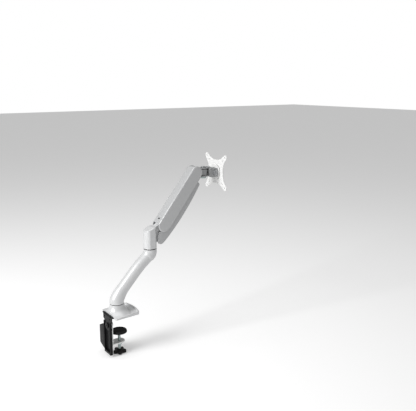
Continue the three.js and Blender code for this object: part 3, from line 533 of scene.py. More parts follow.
def metal(name, colour, roughness, stretch, marks, metallic=0.85):
    """Bare, ground or plated steel."""
    made, shader = finished(name, streak_group, {
        "Colour": (*colour, 1), "Roughness": roughness, "Stretch": stretch, "Marks": marks})
    shader.inputs["Metallic"].default_value = metallic
    return made


zinc_sheet = metal("zinc plated sheet", (0.74, 0.75, 0.74), 0.42, (60, 60, 700), 0.2, metallic=0.6)
jaw_low, jaw_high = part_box("clamp_jaw")
pad_box_low, pad_box_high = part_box("clamp_pad")
screw_y = (pad_box_low[1] + pad_box_high[1]) / 2
jaw_thick = 4.5 * mm
jaw_half = jaw_high[0]
leg_width = 15 * mm
tab_top = jaw_low[2] + jaw_thick
tab = plate("tab", zinc_sheet, fillet([
    (-jaw_half, jaw_high[1], 0.6 * mm), (-jaw_half, jaw_low[1], jaw_half * 0.97),
    (jaw_half, jaw_low[1], jaw_half * 0.97), (jaw_half, jaw_high[1], 0.6 * mm)], 16),
    [hole(0, screw_y, 4.6 * mm)], jaw_low[2], tab_top, 0.7 * mm, flat_on)
jaw_leg = plate("jaw leg", zinc_sheet, fillet([
    (-leg_width, jaw_low[2] + 0.5 * mm, 0.5 * mm), (leg_width, jaw_low[2] + 0.5 * mm, 0.5 * mm),
    (leg_width, jaw_high[2], 4 * mm), (-leg_width, jaw_high[2], 4 * mm)]),
    [hole(0, bolt_z, bolt_hole)], -jaw_high[1], -jaw_high[1] + jaw_thick, 0.7 * mm, face_on)
jaw = joined("lower_jaw", tab, jaw_leg)
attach(jaw, "base")
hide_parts("clamp_jaw")


# ---- Nuts ---------------------------------------------------------------------------------
# Six-sided steel nuts: one under the jaw's tab for the clamp screw, one on the column bolt,
# one under the head's swivel and one on the tilt bolt. Corners are chamfered as rolled nuts are.


def nut_maker():
    """Draws a hexagon round a bore, fills it and raises it to the nut's height."""
    tree = bpy.data.node_groups.new("hexagon nut", "GeometryNodeTree")
    add = tree.interface.new_socket
    add("Geometry", in_out="INPUT", socket_type="NodeSocketGeometry")
    for name in ("Corner Radius", "Bore Radius", "Height"):
        add(name, in_out="INPUT", socket_type="NodeSocketFloat").default_value = 0.005
    add("Finish", in_out="INPUT", socket_type="NodeSocketMaterial")
    add("Geometry", in_out="OUTPUT", socket_type="NodeSocketGeometry")
    nodes, links = tree.nodes, tree.links
    given = nodes.new("NodeGroupInput")
    result = nodes.new("NodeGroupOutput")
    hexagon = nodes.new("GeometryNodeCurvePrimitiveCircle")
    hexagon.inputs["Resolution"].default_value = 6
    links.new(given.outputs["Corner Radius"], hexagon.inputs["Radius"])
    bore = nodes.new("GeometryNodeCurvePrimitiveCircle")
    bore.inputs["Resolution"].default_value = 48
    links.new(given.outputs["Bore Radius"], bore.inputs["Radius"])
    both = nodes.new("GeometryNodeJoinGeometry")
    links.new(hexagon.outputs["Curve"], both.inputs[0])
    links.new(bore.outputs["Curve"], both.inputs[0])
    fill = nodes.new("GeometryNodeFillCurve")
    links.new(both.outputs[0], fill.inputs["Curve"])
    rise = nodes.new("GeometryNodeExtrudeMesh")
    rise.mode = "FACES"
    rise.inputs["Individual"].default_value = False
    links.new(fill.outputs["Mesh"], rise.inputs["Mesh"])
    links.new(given.outputs["Height"], rise.inputs["Offset Scale"])
    under = nodes.new("GeometryNodeFlipFaces")
    links.new(fill.outputs["Mesh"], under.inputs["Mesh"])
    closed = nodes.new("GeometryNodeJoinGeometry")
    links.new(rise.outputs["Mesh"], closed.inputs[0])
    links.new(under.outputs["Mesh"], closed.inputs[0])
    weld = nodes.new("GeometryNodeMergeByDistance")
    weld.inputs["Distance"].default_value = 0.00001
    links.new(closed.outputs[0], weld.inputs["Geometry"])
    real = nodes.new("GeometryNodeRealizeInstances")
    links.new(weld.outputs["Geometry"], real.inputs["Geometry"])
    finish = nodes.new("GeometryNodeSetMaterial")
    links.new(real.outputs["Geometry"], finish.inputs["Geometry"])
    links.new(given.outputs["Finish"], finish.inputs["Material"])
    links.new(finish.outputs["Geometry"], result.inputs["Geometry"])
    return tree


nut_tree = nut_maker()


def give(maker, values):
    """Sets the named inputs of a modifier that runs a node tree."""
    for socket in maker.node_group.interface.items_tree:
        if socket.in_out == "INPUT" and socket.name in values:
            maker[socket.identifier] = values[socket.name]


def grown(name, tree, values, place, angle=35):
    """The plain mesh that a tree makes with these values, put in its place."""
    piece = bpy.data.objects.new(name, bpy.data.meshes.new(name))
    bpy.context.scene.collection.objects.link(piece)
    maker = piece.modifiers.new("maker", "NODES")
    maker.node_group = tree
    give(maker, values)
    baked(piece)
    piece.data.transform(place)
    build = bmesh.new()
    build.from_mesh(piece.data)
    bmesh.ops.recalc_face_normals(build, faces=build.faces)
    build.to_mesh(piece.data)
    build.free()
    for face in piece.data.polygons:
        face.use_smooth = True
    piece.data.set_sharp_from_angle(angle=math.radians(angle))
    return piece


def softened(piece, width, segments=3):
    """The piece with its sharp edges rolled over to this width."""
    roll = piece.modifiers.new("soft edges", "BEVEL")
    roll.width = width
    roll.segments = segments
    roll.limit_method = "ANGLE"
    roll.angle_limit = math.radians(35)
    baked(piece)
    for face in piece.data.polygons:
        face.use_smooth = True
    piece.data.set_sharp_from_angle(angle=math.radians(35))
    return piece


bright_zinc = metal("bright zinc", (0.56, 0.65, 0.64), 0.34, (400, 400, 500), 0.2, metallic=0.8)
for node, body, axis, finish_of_nut, bore in (
        ("jaw_nut", "base", (0, 0, 1), bright_zinc, 4.6 * mm),
        ("column_nut", "base", (0, 1, 0), black_coat, bolt_hole),
        ("swivel_nut", "swivel", (0, 0, 1), bright_zinc, 5.3 * mm),
        ("tilt_nut", "tilt", (1, 0, 0), bright_zinc, 4.3 * mm)):
    low, high = (Vector(corner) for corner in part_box(node))
    axis = Vector(axis)
    height = (high - low).dot(axis)
    across = max((high - low) - axis * height) / 2
    start = (low + high) / 2 - axis * height / 2
    turn = Matrix.Translation(start) @ axis.to_track_quat("Z", "Y").to_matrix().to_4x4()
    nut = grown(node + "_rolled", nut_tree, {
        "Corner Radius": across, "Bore Radius": bore, "Height": height, "Finish": finish_of_nut}, turn)
    softened(nut, 0.45 * mm)
    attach(nut, body)
    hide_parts(node)


# ---- Column bolt --------------------------------------------------------------------------
# A low round-headed bolt, black, through the bracket's leg, the channel and the jaw. Its head
# has a six-sided socket for the key that comes with the arm.


def turned(name, material, profile, centre, axis=(0, 0, 1), count=96, angle=35):
    """A piece turned on a lathe: profile is (radius, height) along axis, from centre."""
    build = bmesh.new()
    rings = []
    for radius, height in profile:
        if radius < 1e-7:
            rings.append([build.verts.new((0, 0, height))])
        else:
            rings.append([build.verts.new((*point, height)) for point in hole(0, 0, radius, count)])
    pairs = list(zip(rings, rings[1:]))
    if len(rings[0]) > 1:
        pairs.append((rings[-1], rings[0]))
    for a, b in pairs:
        for j in range(count):
            n = (j + 1) % count
            corners = [a[j % len(a)], a[n % len(a)], b[n % len(b)], b[j % len(b)]]
            corners = [c for i, c in enumerate(corners) if c not in corners[:i]]
            if len(corners) > 2:
                build.faces.new(corners)
    turn = Vector(axis).to_track_quat("Z", "Y").to_matrix().to_4x4()
    build.transform(Matrix.Translation(Vector(centre)) @ turn)
    return new_piece(name, build, material, angle)


def round_edges(profile, radius, steps=4):
    """A lathe profile whose outer corners are rounded to radius."""
    body = fillet([(r, z, radius if r > 1e-7 else 0) for r, z in profile], steps)
    return [(max(0.0, p.x), p.y) for p in body]


bolt_back = bolt_high[1]
bolt_tip = bolt_low[1]
head_front = leg_back + 0.3 * mm
key_size = 2.9 * mm
column_bolt = turned("column_bolt_round_head", black_coat, round_edges([
    (0, 0), (4 * mm, 0), (4 * mm, head_front - bolt_tip), (8.5 * mm, head_front - bolt_tip),
    (8.5 * mm, bolt_back - bolt_tip), (0, bolt_back - bolt_tip)], 0.8 * mm),
    (0, bolt_tip, bolt_z), (0, 1, 0))
key_socket = bar((0, bolt_back - 2 * mm, bolt_z), (0, bolt_back + 2 * mm, bolt_z), key_size, 6)
carve(column_bolt, [key_socket])
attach(column_bolt, "base")
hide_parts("column_bolt")


# ---- Cable guide --------------------------------------------------------------------------
# A moulded black plastic trough clipped to the channel's far side. Cables are pressed in
# through the slit at its front and leave at its open lower end.

black_moulding = coated("black moulded plastic", (0.008, 0.008, 0.0085), 0.45, 1300, 0.3, 0.3, shine=0.2)
guide_low, guide_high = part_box("cable_guide")
guide_wall = 2.5 * mm
guide_middle = guide_low[0] + (guide_high[0] - guide_low[0]) * 0.45
guide = plate("cable_trough", black_moulding, fillet([
    (guide_low[0], guide_high[2], 1.5 * mm), (guide_low[0], guide_low[2], 1.5 * mm),
    (guide_middle, guide_low[2] + 4 * mm, 3 * mm), (guide_high[0], guide_low[2] + 11 * mm, 5 * mm),
    (guide_high[0], guide_high[2] - 10 * mm, 3 * mm)]),
    [], -guide_high[1], -guide_low[1], 1.1 * mm, face_on)
trough = plate("tool", black_moulding, fillet([
    (guide_low[0] + guide_wall, guide_high[2] + 5 * mm, 0),
    (guide_low[0] + guide_wall, guide_low[2] - 5 * mm, 0),
    (guide_middle, guide_low[2] - 5 * mm, 0), (guide_middle, guide_low[2] + 4 * mm + guide_wall, 0.5 * mm),
    (guide_high[0] - guide_wall, guide_low[2] + 11 * mm + guide_wall, 3 * mm),
    (guide_high[0] - guide_wall, guide_high[2] + 5 * mm, 0)]),
    [], -guide_high[1] + guide_wall, -guide_low[1] - guide_wall, 0.01 * mm, face_on)
slit = block((guide_low[0] + 12 * mm, guide_low[1] - 3 * mm, guide_low[2] - 5 * mm),
             (guide_low[0] + 17 * mm, guide_low[1] + 4 * mm, guide_high[2] + 5 * mm))
carve(guide, [trough, slit])
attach(guide, "base")
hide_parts("cable_guide")


# ---- Clamp screw --------------------------------------------------------------------------
# An M8-like zinc-plated screw with a 1.25 mm pitch. The rolled thread runs its whole length,
# and its plain upper end turns in the pad's socket.


def thread_maker():
    """Winds a small rounded ridge round a core, pitch by pitch."""
    tree = bpy.data.node_groups.new("rolled thread", "GeometryNodeTree")
    add = tree.interface.new_socket
    add("Geometry", in_out="INPUT", socket_type="NodeSocketGeometry")
    for name in ("Core Radius", "Ridge", "Length", "Turns"):
        add(name, in_out="INPUT", socket_type="NodeSocketFloat").default_value = 0.004
    add("Finish", in_out="INPUT", socket_type="NodeSocketMaterial")
    add("Geometry", in_out="OUTPUT", socket_type="NodeSocketGeometry")
    nodes, links = tree.nodes, tree.links
    given = nodes.new("NodeGroupInput")
    result = nodes.new("NodeGroupOutput")
    helix = nodes.new("GeometryNodeCurveSpiral")
    helix.inputs["Resolution"].default_value = 28
    links.new(given.outputs["Turns"], helix.inputs["Rotations"])
    links.new(given.outputs["Core Radius"], helix.inputs["Start Radius"])
    links.new(given.outputs["Core Radius"], helix.inputs["End Radius"])
    links.new(given.outputs["Length"], helix.inputs["Height"])
    ridge = nodes.new("GeometryNodeCurvePrimitiveCircle")
    ridge.inputs["Resolution"].default_value = 8
    links.new(given.outputs["Ridge"], ridge.inputs["Radius"])
    wound = nodes.new("GeometryNodeCurveToMesh")
    wound.inputs["Fill Caps"].default_value = True
    links.new(helix.outputs["Curve"], wound.inputs["Curve"])
    links.new(ridge.outputs["Curve"], wound.inputs["Profile Curve"])
    core = nodes.new("GeometryNodeMeshCylinder")
    core.inputs["Vertices"].default_value = 64
    links.new(given.outputs["Core Radius"], core.inputs["Radius"])
    longer = nodes.new("ShaderNodeMath")
    longer.operation = "ADD"
    longer.inputs[1].default_value = 0.0012
    links.new(given.outputs["Length"], longer.inputs[0])
    links.new(longer.outputs[0], core.inputs["Depth"])
    halfway = nodes.new("ShaderNodeMath")
    halfway.operation = "MULTIPLY"
    halfway.inputs[1].default_value = 0.5
    links.new(given.outputs["Length"], halfway.inputs[0])
    lift = nodes.new("ShaderNodeCombineXYZ")
    links.new(halfway.outputs[0], lift.inputs["Z"])
    raised = nodes.new("GeometryNodeTransform")
    links.new(core.outputs["Mesh"], raised.inputs["Geometry"])
    links.new(lift.outputs[0], raised.inputs["Translation"])
    both = nodes.new("GeometryNodeJoinGeometry")
    links.new(wound.outputs["Mesh"], both.inputs[0])
    links.new(raised.outputs["Geometry"], both.inputs[0])
    real = nodes.new("GeometryNodeRealizeInstances")
    links.new(both.outputs[0], real.inputs["Geometry"])
    finish = nodes.new("GeometryNodeSetMaterial")
    links.new(real.outputs["Geometry"], finish.inputs["Geometry"])
    links.new(given.outputs["Finish"], finish.inputs["Material"])
    links.new(finish.outputs["Geometry"], result.inputs["Geometry"])
    return tree


screw_low, screw_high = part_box("clamp_screw")
pitch = 1.25 * mm
thread_length = screw_high[2] - screw_low[2] - 1.6 * mm
clamp_screw = grown("clamp_screw_threaded", thread_maker(), {
    "Core Radius": 3.85 * mm, "Ridge": 0.42 * mm, "Length": thread_length, "Turns": thread_length / pitch,
    "Finish": bright_zinc}, Matrix.Translation((0, screw_y, screw_low[2] + 0.8 * mm)))
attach(clamp_screw, "clamp_screw")
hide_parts("clamp_screw")


# ---- Clamp knob ---------------------------------------------------------------------------
# A five-lobed star knob, moulded in black plastic over the screw's lower end, with a raised hub that backs
# the screw.

knob_low, knob_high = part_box("clamp_knob")
lobe_count = 5
lobe_turn = -0.96
star = []
for k in range(240):
    angle = 2 * math.pi * k / 240
    swell = (0.5 + 0.5 * math.cos(lobe_count * (angle - lobe_turn))) ** 0.85
    reach_here = (13.6 + 7.4 * swell) * mm
    star.append((reach_here * math.cos(angle), screw_y + reach_here * math.sin(angle)))
knob_star = plate("star", black_moulding, star, [], knob_low[2], knob_high[2] - 3 * mm, 2.6 * mm,
                  flat_on, steps=6)
knob_hub = turned("hub", black_moulding, round_edges([
    (0, knob_high[2] - 9 * mm), (10.5 * mm, knob_high[2] - 9 * mm), (8.2 * mm, knob_high[2]),
    (0, knob_high[2])], 1.2 * mm), (0, screw_y, 0))
knob = joined("star_knob", knob_star, knob_hub)
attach(knob, "clamp_screw")
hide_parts("clamp_knob")


# ---- Clamp pad ----------------------------------------------------------------------------
# The swivelling pad that presses up under the desk: a black plastic dish with a rubber disc let into its
# top so that the desk isn't marked.

rubber_low, rubber_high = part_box("pad_rubber")
pad_radius = pad_box_high[0]
dish = turned("pad_dish", black_moulding, round_edges([
    (0, pad_box_low[2]), (7.5 * mm, pad_box_low[2]), (9.5 * mm, pad_box_low[2] + 2.2 * mm),
    (pad_radius - 4 * mm, pad_box_low[2] + 3.2 * mm), (pad_radius, pad_box_low[2] + 5 * mm),
    (pad_radius, pad_box_high[2]), (0, pad_box_high[2])], 0.9 * mm), (0, screw_y, 0))
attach(dish, "clamp_pad")
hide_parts("clamp_pad")

ring_grooves = [(0, rubber_low[2]), (rubber_high[0], rubber_low[2]),
                (rubber_high[0], rubber_high[2] - 0.8 * mm), (rubber_high[0] - 0.8 * mm, rubber_high[2])]
for groove in (19, 14, 9):
    for step, sink in ((0.7, 0), (0.4, 0.5), (-0.4, 0.5), (-0.7, 0)):
        ring_grooves.append(((groove + step) * mm, rubber_high[2] - sink * mm))
ring_grooves.append((0, rubber_high[2]))
pad_disc = turned("pad_rubber_disc", black_rubber, ring_grooves, (0, screw_y, 0))
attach(pad_disc, "clamp_pad")
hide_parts("pad_rubber")


# ---- Foot ---------------------------------------------------------------------------------
# A die-cast aluminium cover, powder coated silver-white. A flared neck rises to the swivel's
# seam from a plate whose rim is low at the desk's rear edge and has a raised lip at the front.

silver_coat = coated("silver powder coat", (0.68, 0.685, 0.69), 0.36, 2100, 0.1, 0.03,
                     metallic=0.2, coat=0.2)
foot_low, foot_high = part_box("base_cover")
collar = 22 * mm


def cast(piece, grain, passes):
    """The piece as one soft-edged casting, built again in cells as small as grain."""
    skin = piece.modifiers.new("skin", "REMESH")
    skin.mode = "VOXEL"
    skin.voxel_size = grain
    skin.use_smooth_shade = True
    ease = piece.modifiers.new("ease", "SMOOTH")
    ease.factor = 0.5
    ease.iterations = passes
    baked(piece)
    for face in piece.data.polygons:
        face.use_smooth = True
    return piece


def rim_height(y):
    """How high the foot's rim stands at y, from its low rear edge to its front lip."""
    along = (foot_high[1] - y) / (foot_high[1] - foot_low[1])
    return (5 + 7.2 * min(1, max(0, along))) * mm


def foot_block(name, inset, edge):
    """The foot's plate with a sloping top, inside the outline moved in by inset."""
    blank = 4 * mm
    made = plate(name, silver_coat, foot_outline(inset), [],
                 foot_low[2], foot_low[2] + blank, edge, flat_on)
    for vert in made.data.vertices:
        if vert.co.z > foot_low[2] + blank / 2:
            vert.co.z += rim_height(vert.co.y) - foot_low[2] - blank
    return made


def basin(rise):
    """A tool for the hollow inside the foot's rim: its floor follows the rim, 3.4 mm lower."""
    rim_width, depth = 5 * mm, 3.4 * mm
    made = foot_block("tool", rim_width, 0.01 * mm)
    for vert in made.data.vertices:
        if vert.co.z > foot_low[2] + 2 * mm:
            vert.co.z += rise
        else:
            vert.co.z = rim_height(vert.co.y) - depth
    return made


foot = foot_block("foot", 0, 1.4 * mm)
carve(foot, [basin(8 * mm)])
neck_profile = [(0, foot_low[2] + 2.4 * mm), (60 * mm, foot_low[2] + 2.4 * mm)]
for radius, height in ((52, 4.6), (45, 7.2), (40, 9.4), (36, 11.6), (32, 14.2), (28, 18), (25, 22.6),
                       (23.2, 27), (22.2, 31)):
    neck_profile.append((radius * mm, height * mm))
neck_profile += [(collar, foot_high[2]), (0, foot_high[2])]
neck = turned("tool", silver_coat, neck_profile, (0, 0, 0))
trim = plate("tool", silver_coat, foot_outline(0.3 * mm), [],
             foot_low[2], foot_high[2] + 5 * mm, 0.01 * mm, flat_on)
carve(neck, [trim], "INTERSECT")
carve(foot, [neck], "UNION")
valley = basin(30 * mm)
slim_neck = turned("tool", silver_coat, [
    (0, -5 * mm), (70 * mm, -5 * mm), (70 * mm, 1 * mm), (46 * mm, 5 * mm), (39 * mm, 7.5 * mm),
    (34 * mm, 11 * mm), (30 * mm, 15.5 * mm), (27 * mm, 20 * mm), (23.4 * mm, 27 * mm), (22 * mm, 60 * mm),
    (0, 60 * mm)], (0, 0, 0))
carve(valley, [block((-80 * mm, -27 * mm, -20 * mm), (80 * mm, 80 * mm, 90 * mm)), slim_neck])
carve(foot, [valley])
cast(foot, 0.5 * mm, 1)
room = 0.3 * mm
post_bore = 9.8 * mm
carve(foot, [
    plate("tool", silver_coat, foot_outline(3 * mm - room), [],
          -5 * mm, pad_high[2] + room, 0.01 * mm, flat_on),
    block((-flange_half - room, flange_low[1] - room, -5 * mm),
          (flange_half + room, foot_high[1] + 5 * mm, flange_high[2] + room)),
    bar((0, 0, -5 * mm), (0, 0, foot_high[2] + 5 * mm), post_bore),
    bar((0, 0, -5 * mm), (0, 0, 12 * mm), 16.3 * mm)])
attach(foot, "base")
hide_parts("base_cover")


# ---- Swivel rings -------------------------------------------------------------------------
# Two thin bearing rings in dark acetal, one in the foot's seam and one in the elbow's. They
# stand slightly inside the paintwork, so each seam reads as a fine dark line.

dark_acetal = coated("dark acetal", (0.012, 0.012, 0.013), 0.6, 1600, 0.15, 0.2, shine=0.2)
for node, body, bore in (("base_swivel_ring", "base", 11.5), ("elbow_swivel_ring", "lower_arm", 9.8)):
    low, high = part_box(node)
    middle_of = ((low[0] + high[0]) / 2, (low[1] + high[1]) / 2)
    rim = hole(0, 0, (high[0] - low[0]) / 2, 128)
    ring = plate(node + "_bearing", dark_acetal, rim, [hole(0, 0, bore * mm, 64)],
                 low[2], high[2], 0.3 * mm, flat_on, Matrix.Translation((*middle_of, 0)))
    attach(ring, body)
    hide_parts(node)


# ---- Lower arm ----------------------------------------------------------------------------
# One die-cast aluminium tube, powder coated silver-white. It leaves the foot upright, leans
# forward as a slimmer tube, and turns upright again in the wider cup under the elbow.


def tube_maker():
    """Sweeps a circle along a drawn line, wide at both ends and slimmer between them."""
    tree = bpy.data.node_groups.new("swept arm", "GeometryNodeTree")
    add = tree.interface.new_socket
    add("Geometry", in_out="INPUT", socket_type="NodeSocketGeometry")
    for name in ("Foot Radius", "Middle Radius", "Elbow Radius"):
        add(name, in_out="INPUT", socket_type="NodeSocketFloat").default_value = 0.02
    add("Finish", in_out="INPUT", socket_type="NodeSocketMaterial")
    add("Geometry", in_out="OUTPUT", socket_type="NodeSocketGeometry")
    nodes, links = tree.nodes, tree.links
    given = nodes.new("NodeGroupInput")
    result = nodes.new("NodeGroupOutput")
    flowing = nodes.new("GeometryNodeCurveSplineType")
    flowing.spline_type = "CATMULL_ROM"
    links.new(given.outputs["Geometry"], flowing.inputs["Curve"])
    even = nodes.new("GeometryNodeResampleCurve")
    even.inputs["Count"].default_value = 150
    links.new(flowing.outputs["Curve"], even.inputs["Curve"])
    along = nodes.new("GeometryNodeSplineParameter")

    def eased(start, end, first, last):
        """A value that moves smoothly from first to last between two places on the line."""
        ramp = nodes.new("ShaderNodeMapRange")
        ramp.interpolation_type = "SMOOTHSTEP"
        ramp.inputs["From Min"].default_value = start
        ramp.inputs["From Max"].default_value = end
        links.new(along.outputs["Factor"], ramp.inputs["Value"])
        links.new(first, ramp.inputs["To Min"])
        links.new(last, ramp.inputs["To Max"])
        return ramp.outputs["Result"]

    lower = eased(0.06, 0.28, given.outputs["Foot Radius"], given.outputs["Middle Radius"])
    width = eased(0.84, 0.885, lower, given.outputs["Elbow Radius"])
    section = nodes.new("GeometryNodeCurvePrimitiveCircle")
    section.inputs["Resolution"].default_value = 112
    section.inputs["Radius"].default_value = 1
    swept = nodes.new("GeometryNodeCurveToMesh")
    swept.inputs["Fill Caps"].default_value = True
    links.new(even.outputs["Curve"], swept.inputs["Curve"])
    links.new(width, swept.inputs["Scale"])
    links.new(section.outputs["Curve"], swept.inputs["Profile Curve"])
    real = nodes.new("GeometryNodeRealizeInstances")
    links.new(swept.outputs["Mesh"], real.inputs["Geometry"])
    finish = nodes.new("GeometryNodeSetMaterial")
    links.new(real.outputs["Geometry"], finish.inputs["Geometry"])
    links.new(given.outputs["Finish"], finish.inputs["Material"])
    links.new(finish.outputs["Geometry"], result.inputs["Geometry"])
    return tree


arm_low, arm_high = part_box("lower_arm")
elbow_y = joint_at["elbow_swivel"].y
line = bpy.data.curves.new("arm line", "CURVE")
line.dimensions = "3D"
drawn = line.splines.new("POLY")
foot_z, cup_z = arm_low[2], arm_high[2]
stations = [(0, foot_z), (0, foot_z + 5 * mm), (0, foot_z + 10 * mm), (-9.5 * mm, foot_z + 26 * mm),
            (-25 * mm, foot_z + 45 * mm), (elbow_y + 45 * mm, cup_z - 53.5 * mm),
            (elbow_y + 19 * mm, cup_z - 31 * mm), (elbow_y + 3 * mm, cup_z - 17 * mm),
            (elbow_y, cup_z - 9 * mm), (elbow_y, cup_z - 4.5 * mm), (elbow_y, cup_z)]
drawn.points.add(len(stations) - 1)
for point, (y, z) in zip(drawn.points, stations):
    point.co = (0, y, z, 1)
arm_line = bpy.data.objects.new("arm line", line)
bpy.context.scene.collection.objects.link(arm_line)
sweep_step = arm_line.modifiers.new("sweep", "NODES")
sweep_step.node_group = tube_maker()
cup_radius = 20.8 * mm
give(sweep_step, {"Foot Radius": collar, "Middle Radius": 18.7 * mm, "Elbow Radius": cup_radius,
                  "Finish": silver_coat})
swept_mesh = bpy.data.meshes.new_from_object(arm_line.evaluated_get(bpy.context.evaluated_depsgraph_get()))
bpy.data.objects.remove(arm_line)
build = bmesh.new()
build.from_mesh(swept_mesh)
bpy.data.meshes.remove(swept_mesh)
lower_arm = new_piece("lower_arm_tube", build, silver_coat)
softened(lower_arm, 0.7 * mm)
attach(lower_arm, "lower_arm")
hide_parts("lower_arm")


# ---- Elbow knuckle ------------------------------------------------------------------------
# A die-cast aluminium housing with flattened cheeks and a sloped, rounded top. Its tongue
# reaches forward between the links and carries their two rear pivots.

lift = joint_at["lift"]
link = joint_at["lower_link_turn"]
level = joint_at["head_level"]
knuckle_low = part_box("elbow_knuckle")[0]
cheek_out = 18.9 * mm
cheek_edge = 5 * mm
housing = turned("elbow_housing", silver_coat, [
    (0, knuckle_low[2]), (cup_radius - 0.4 * mm, knuckle_low[2]), (cup_radius, knuckle_low[2] + 0.5 * mm),
    (cup_radius, lift.z + 9 * mm), (0, lift.z + 9 * mm)], (0, elbow_y, 0))
top_profile = plate("tool", silver_coat, fillet([
    (elbow_y + 25 * mm, knuckle_low[2] - 5 * mm, 0), (elbow_y + 25 * mm, lift.z - 17.5 * mm, 0),
    (elbow_y + 14.5 * mm, lift.z - 9.2 * mm, 6 * mm), (elbow_y - 4 * mm, lift.z - 0.9 * mm, 9 * mm),
    (elbow_y - 17 * mm, lift.z + 0.2 * mm, 6 * mm), (elbow_y - 25 * mm, lift.z - 9 * mm, 2 * mm),
    (elbow_y - 25 * mm, knuckle_low[2] - 5 * mm, 0)], 10),
    [], -cheek_out, cheek_out, cheek_edge, side_on, steps=8)
carve(housing, [top_profile], "INTERSECT")
tongue_half = 10.3 * mm
tongue = plate("tool", silver_coat, [
    (elbow_y, link.z - 11 * mm), (lift.y, link.z - 11 * mm), (lift.y - 7.7 * mm, link.z),
    (lift.y - 11.6 * mm, lift.z), (lift.y + 15.6 * mm, lift.z + 5.6 * mm),
    (elbow_y - 15 * mm, lift.z - 1.2 * mm), (elbow_y, lift.z - 7 * mm)],
    [], -tongue_half, tongue_half, 0.01 * mm, side_on)
bosses = [bar((-tongue_half, lift.y, lift.z), (tongue_half, lift.y, lift.z), 16.6 * mm),
          bar((-tongue_half, link.y, link.z), (tongue_half, link.y, link.z), 11 * mm)]
carve(housing, [tongue] + bosses, "UNION")
cast(housing, 0.75 * mm, 6)
anchor = joint_at["rod_turn"]
arm_rise = math.atan2(level.z - lift.z, lift.y - level.y)
high_way, low_way = [Vector((-math.cos(a), math.sin(a)))
                     for a in (arm_rise + math.radians(3), arm_rise - math.radians(83))]
rod_gap = 4.9 * mm
slot_half = 5.4 * mm
slot_reach = 60 * mm
around = Vector((anchor.y, anchor.z))
above = Vector((high_way.y, -high_way.x)) * rod_gap
below = Vector((low_way.y, -low_way.x)) * rod_gap
slot_shape = [around + above, around + high_way * slot_reach + above, around + Vector((-90 * mm, 0)),
              around + low_way * slot_reach - below, around - below]
rod_slot = plate("tool", silver_coat, slot_shape, [], -slot_half, slot_half, 0.01 * mm, side_on)
carve(housing, [
    rod_slot, bar((-slot_half, anchor.y, anchor.z), (slot_half, anchor.y, anchor.z), 8 * mm),
    bar((0, elbow_y, knuckle_low[2] - 5 * mm), (0, elbow_y, knuckle_low[2] + 24 * mm), post_bore)])
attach(housing, "elbow")
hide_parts("elbow_knuckle")


# ---- Upper link ---------------------------------------------------------------------------
# The steel beam inside the upper arm: a channel bent from 3.5 mm plate, open below, drilled for the lift
# pins at both ends.

along_arm = Matrix.Translation(lift) @ Matrix.Rotation(-arm_rise, 4, "X")
arm_length = (level - lift).length
ground_steel = metal("ground steel", (0.42, 0.43, 0.44), 0.38, (500, 60, 500), 0.25)
link_half = 14.2 * mm
link_depth = 16 * mm
pin_bore = 5.3 * mm
beyond = 30 * mm


def stadium(rear, front, radius_rear, radius_front, steps=40):
    """A side view of a beam with round ends, level, from the pivot at rear to the one at front."""
    outline = [(rear + radius_rear * math.cos(a), radius_rear * math.sin(a))
               for a in (math.pi / 2 - math.pi * k / steps for k in range(steps + 1))]
    outline += [(front + radius_front * math.cos(a), radius_front * math.sin(a))
                for a in (-math.pi / 2 - math.pi * k / steps for k in range(steps + 1))]
    return outline


beam = plate("upper_link_beam", ground_steel, stadium(0, -arm_length, link_depth, link_depth), [],
             -link_half, link_half, 0.5 * mm, side_on)
inner = link_half - 3.5 * mm
front_end = -arm_length - beyond
carve(beam, [
    block((-inner, front_end, -beyond), (inner, beyond, link_depth - 3 * mm)),
    block((-inner, -20 * mm, -beyond), (inner, beyond, beyond)),
    block((-inner, front_end, -beyond), (inner, -arm_length + 20 * mm, beyond)),
    bar((-beyond, 0, 0), (beyond, 0, 0), pin_bore),
    bar((-beyond, -arm_length, 0), (beyond, -arm_length, 0), pin_bore)])
beam.data.transform(along_arm)
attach(beam, "upper_link")
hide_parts("upper_link")


# ---- Upper arm cover ----------------------------------------------------------------------
# A long moulded cover, silver-grey, that hides the beam and the spring. Its edges are rolled,
# its front end is round, and a seam near the elbow marks the cap over the tension screw.

cover_plastic = coated("silver moulded cover", (0.58, 0.585, 0.59), 0.36, 1500, 0.08, 0.03,
                       metallic=0.3, coat=0.15)
cover_half = 20.5 * mm
cover_depth = 20.5 * mm
cover_wall = 2.3 * mm
cap_at = 12 * mm
front_radius = 22 * mm
rear_radius = 20.8 * mm
front_turn = math.asin(cover_depth / front_radius)
rear_turn = math.asin(cover_depth / rear_radius)
skin_line = [(rear_radius * math.cos(a), rear_radius * math.sin(a))
             for a in (rear_turn - 2 * rear_turn * k / 48 for k in range(49))]
skin_line += [(-arm_length + front_radius * math.cos(a), front_radius * math.sin(a))
              for a in (math.pi + front_turn - 2 * front_turn * k / 48 for k in range(49))]
rolled_edge = 4.4 * mm
cover = plate("upper_arm_shell", cover_plastic, skin_line, [], -cover_half, cover_half,
              rolled_edge, side_on, steps=10)
flat_below = block((-cover_half, -arm_length + 2 * mm, -cover_depth),
                   (cover_half, -2 * mm, -cover_depth + 8 * mm))
carve(cover, [flat_below], "UNION")
hollow = cover_half - cover_wall
